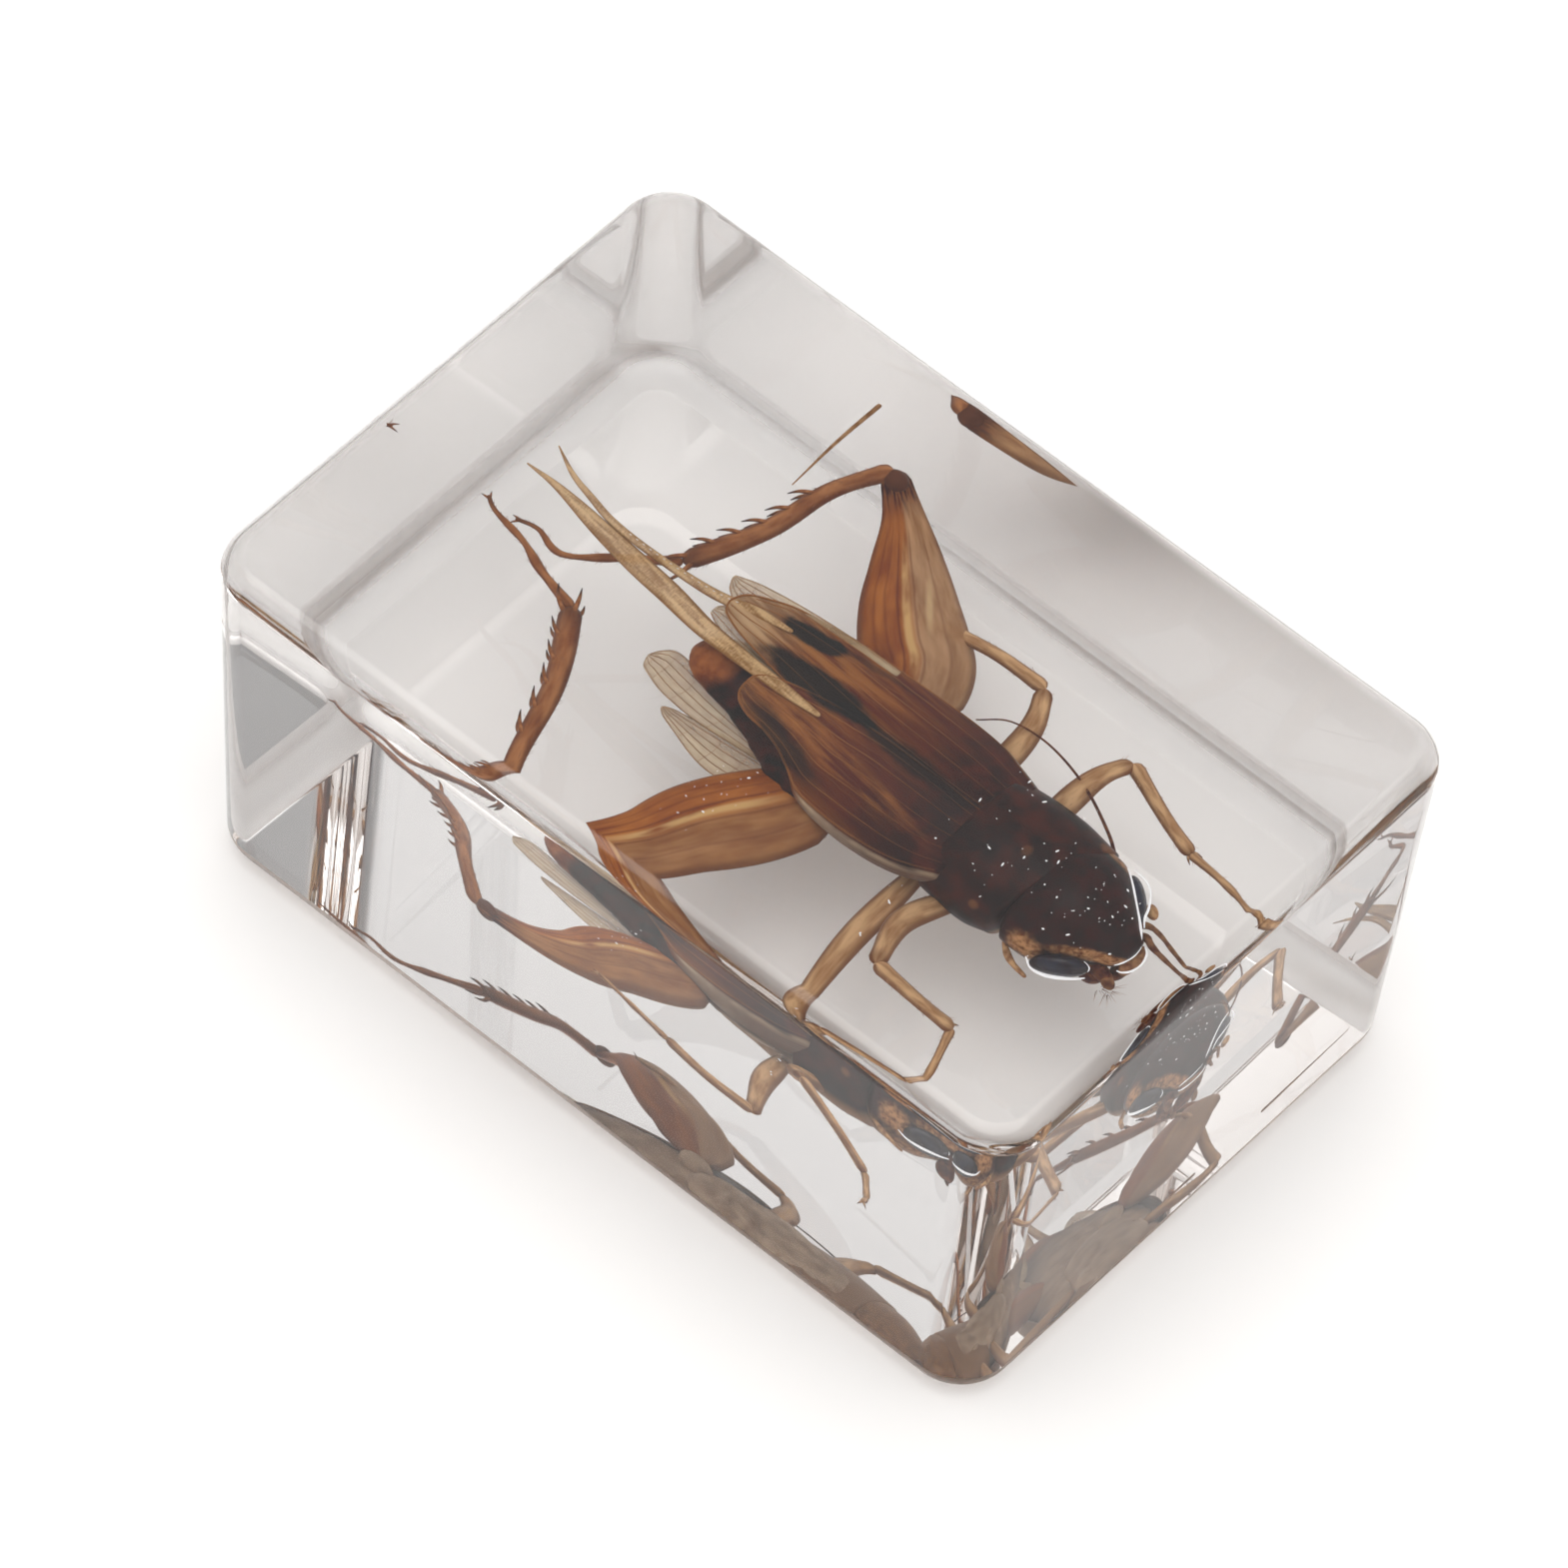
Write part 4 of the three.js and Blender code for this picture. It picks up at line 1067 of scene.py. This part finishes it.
for side_name, thigh_line, shin_line, foot_line in HIND_LEGS:
    dice = random.Random(11)
    thigh, shin, foot = Route(*thigh_line), Route(*shin_line), Route(*foot_line)
    pale_side = 1 if side_name == "right" else -1
    tan = RIGHT_TAN if side_name == "right" else LEFT_TAN
    bm = new_shape()
    thigh_heights = [width * THIGH_FLATNESS for width in THIGH_WIDTHS]
    tube(bm, thigh, THIGH_WIDTHS, thigh_heights, sides=44, rings=70, keels=(12, 0.01))
    ball(bm, thigh.at(0.96) / MM, (0.64, 0.56, 0.6), fineness=20, along=0.97)
    hairs(bm, thigh, THIGH_WIDTHS, thigh_heights, HAIRS_PER_THIGH, (0.1, 0.25), dice)
    thigh_skin = thigh_finish(f"{side_name}_thigh_chitin", pale_side, tan)
    fix(f"{side_name}_hind_thigh", bm, thigh_skin)

    bm = new_shape()
    shin_heights = [width * 0.85 for width in SHIN_WIDTHS]
    tube(bm, shin, SHIN_WIDTHS, shin_heights, sides=20, rings=60, keels=(4, 0.05))
    for lean in (-0.5, 0.7):
        for i in range(THORNS_PER_ROW):
            share = 0.36 + 0.12 * i
            along = shin.heading(share)
            rear = along.cross(UP).normalized()
            if rear.x > 0:
                rear.negate()
            out = rear * math.cos(lean) + UP * math.sin(lean)
            base_point = shin.at(share) + out * 0.3 * MM
            hooked_thorn(bm, base_point, (out + along * 1.5).normalized(), out, THORN_LENGTH, 0.13)
    for i, length in enumerate(SPUR_LENGTHS):
        along, aside, over = shin.frame(0.97)
        out = aside * math.cos(i * 1.6 + 0.4) + over * math.sin(i * 1.6 + 0.4)
        way = (out * 0.5 + along * 1.3).normalized()
        hooked_thorn(bm, shin.at(0.96) + out * 0.25 * MM, way, out, length, 0.14)
    hairs(bm, shin, SHIN_WIDTHS, shin_heights, HAIRS_PER_SHIN, (0.15, 0.4), dice)
    foot_heights = [width * 0.9 for width in FOOT_WIDTHS]
    tube(bm, foot, FOOT_WIDTHS, foot_heights, sides=14, rings=60)
    hairs(bm, foot, FOOT_WIDTHS, foot_heights, HAIRS_PER_FOOT, (0.12, 0.3), dice)
    claws(bm, foot)
    fix(f"{side_name}_hind_shin_and_foot", bm, shin_skin)

# ---- Walking legs ----
# Four slender straw-coloured legs, paler at the middle and brown at the joints and on the feet. Their
# sides are darker with painted shade, where the legs are seen edge-on from above.

WALKING_LEGS = (
    ("right_middle",
     [(6.9, -1.4, 6.4), (7.4, -6.8, 7.3), (8.5, -12.3, 8.15)],
     [(8.5, -12.3, 8.15), (5.8, -12.3, 8.2), (3.5, -12.3, 8.7)],
     [(3.5, -12.3, 8.7), (1.5, -12.3, 9.2), (-0.5, -12.3, 9.7)]),
    ("left_middle",
     [(5.9, 3.6, 6.6), (5.7, 7.2, 7.5), (4.8, 9.3, 8.0)],
     [(4.8, 9.3, 8.0), (2.0, 9.4, 7.6), (-0.8, 9.4, 6.4)],
     [(-0.8, 9.4, 6.4), (-2.4, 9.0, 5.6), (-3.8, 8.4, 5.4)]),
    ("right_front",
     [(9.2, -1.2, 6.6), (8.6, -4.6, 8.3), (9.7, -7.8, 10.3)],
     [(9.7, -7.8, 10.3), (11.8, -7.3, 8.2), (13.3, -6.7, 6.2)],
     [(13.3, -6.7, 6.2), (14.2, -9.3, 6.3), (14.6, -11.4, 7.0)]),
    ("left_front",
     [(9.3, 3.4, 6.9), (9.5, 7.0, 7.8), (10.2, 8.9, 7.95)],
     [(10.2, 8.9, 7.95), (12.8, 8.1, 6.7), (14.7, 7.7, 5.8)],
     [(14.7, 7.7, 5.8), (17.4, 6.9, 7.4), (20.1, 5.6, 9.4)]),
)
WALKING_THIGH = [0.44, 0.58, 0.64, 0.62, 0.54, 0.45, 0.42]
WALKING_SHIN = [0.42, 0.36, 0.34, 0.33, 0.34, 0.38]
WALKING_FOOT = [0.24, 0.2, 0.18, 0.2, 0.13, 0.16, 0.1]

straw_skin, place = chitin("walking_leg_chitin", Roughness=0.4)
along, aside, mark = (attribute(place, part) for part in ("along", "aside", "mark"))
lines = grain(place, along, aside, 6, 1.2, 0.5)
colour = mottled(lines, (152, 114, 84), (198, 162, 124))
# Darker along the sides of each leg: painted shade where it is seen edge-on from above.
colour = (abs(aside + (lines - 0.5) * 0.3).fade(0.55, 0.95) * 0.75).between(colour, paint(110, 76, 64))
colour = (along.fade(0.86, 0.98) * 0.6).between(colour, paint(104, 70, 56))
colour = mark.fade(0.3, 1.0).between(colour, paint(92, 62, 52))
feed(straw_skin, Base_Color=colour)

for name, thigh_line, shin_line, foot_line in WALKING_LEGS:
    dice = random.Random(len(name))
    bm = new_shape()
    for line, widths, flatness, count in (
        (thigh_line, WALKING_THIGH, 0.7, 70),
        (shin_line, WALKING_SHIN, 0.85, 90),
        (foot_line, WALKING_FOOT, 0.9, 70),
    ):
        limb = Route(*line)
        heights = [width * flatness for width in widths]
        tube(bm, limb, widths, heights, sides=20, rings=36, keels=(4, 0.04))
        hairs(bm, limb, widths, heights, count, (0.12, 0.32), dice)
    shin, foot = Route(*shin_line), Route(*foot_line)
    along, aside, _ = shin.frame(0.96)
    for side in (-1, 1):
        hooked_thorn(bm, shin.at(0.96), (along * 1.5 + aside * side).normalized(), aside * side, 0.7, 0.09)
    claws(bm, foot)
    fix(f"{name}_leg", bm, straw_skin)

# ---- Trapped bubbles ----
# Pinpoint bubbles of air that clung to the head, the shield and the legs when the resin was poured.
# Some are drawn out to short dashes. Their shine is painted light: a pale grey colour and an
# emission stand in for the light that they reflect.

BUBBLE_FIELDS = (
    ((14.4, 0.9, 10.9), (2.2, 2.8, 0.02), 44),
    ((10.2, 1.1, 10.95), (2.4, 3.4, 0.02), 34),
    ((-1.5, -5.6, 9.1), (2.4, 3.0, 0.15), 22),
    ((7.5, -4.0, 8.0), (0.6, 2.5, 0.6), 8),
)

# Painted reflection: the bubbles' pale colour and emission stand in for the light they reflect.
bubble_painted_glow, place = chitin("bubble_painted_silver", **PAINTED_SILVER_GLOW)
feed(bubble_painted_glow, Base_Color=noise(place, 0.4).between(paint(140, 138, 138), paint(176, 176, 178)))

dice = random.Random(23)
bm = new_shape()
for centre, reach, count in BUBBLE_FIELDS:
    for _ in range(count):
        spread = Vector([dice.gauss(0, 0.5) * part for part in reach])
        spot = (Vector(centre) + spread) * MM
        size = dice.choice((0.014, 0.016, 0.02, 0.024, 0.045)) * MM
        turned = Matrix.Translation(spot) @ Matrix.Rotation(dice.uniform(0, math.pi), 4, "Z")
        drawn_out = turned @ Matrix.Diagonal((dice.uniform(1, 3), 1, 1, 1))
        bmesh.ops.create_icosphere(bm, subdivisions=1, radius=size, matrix=drawn_out)
fix("trapped_bubbles", bm, bubble_painted_glow)
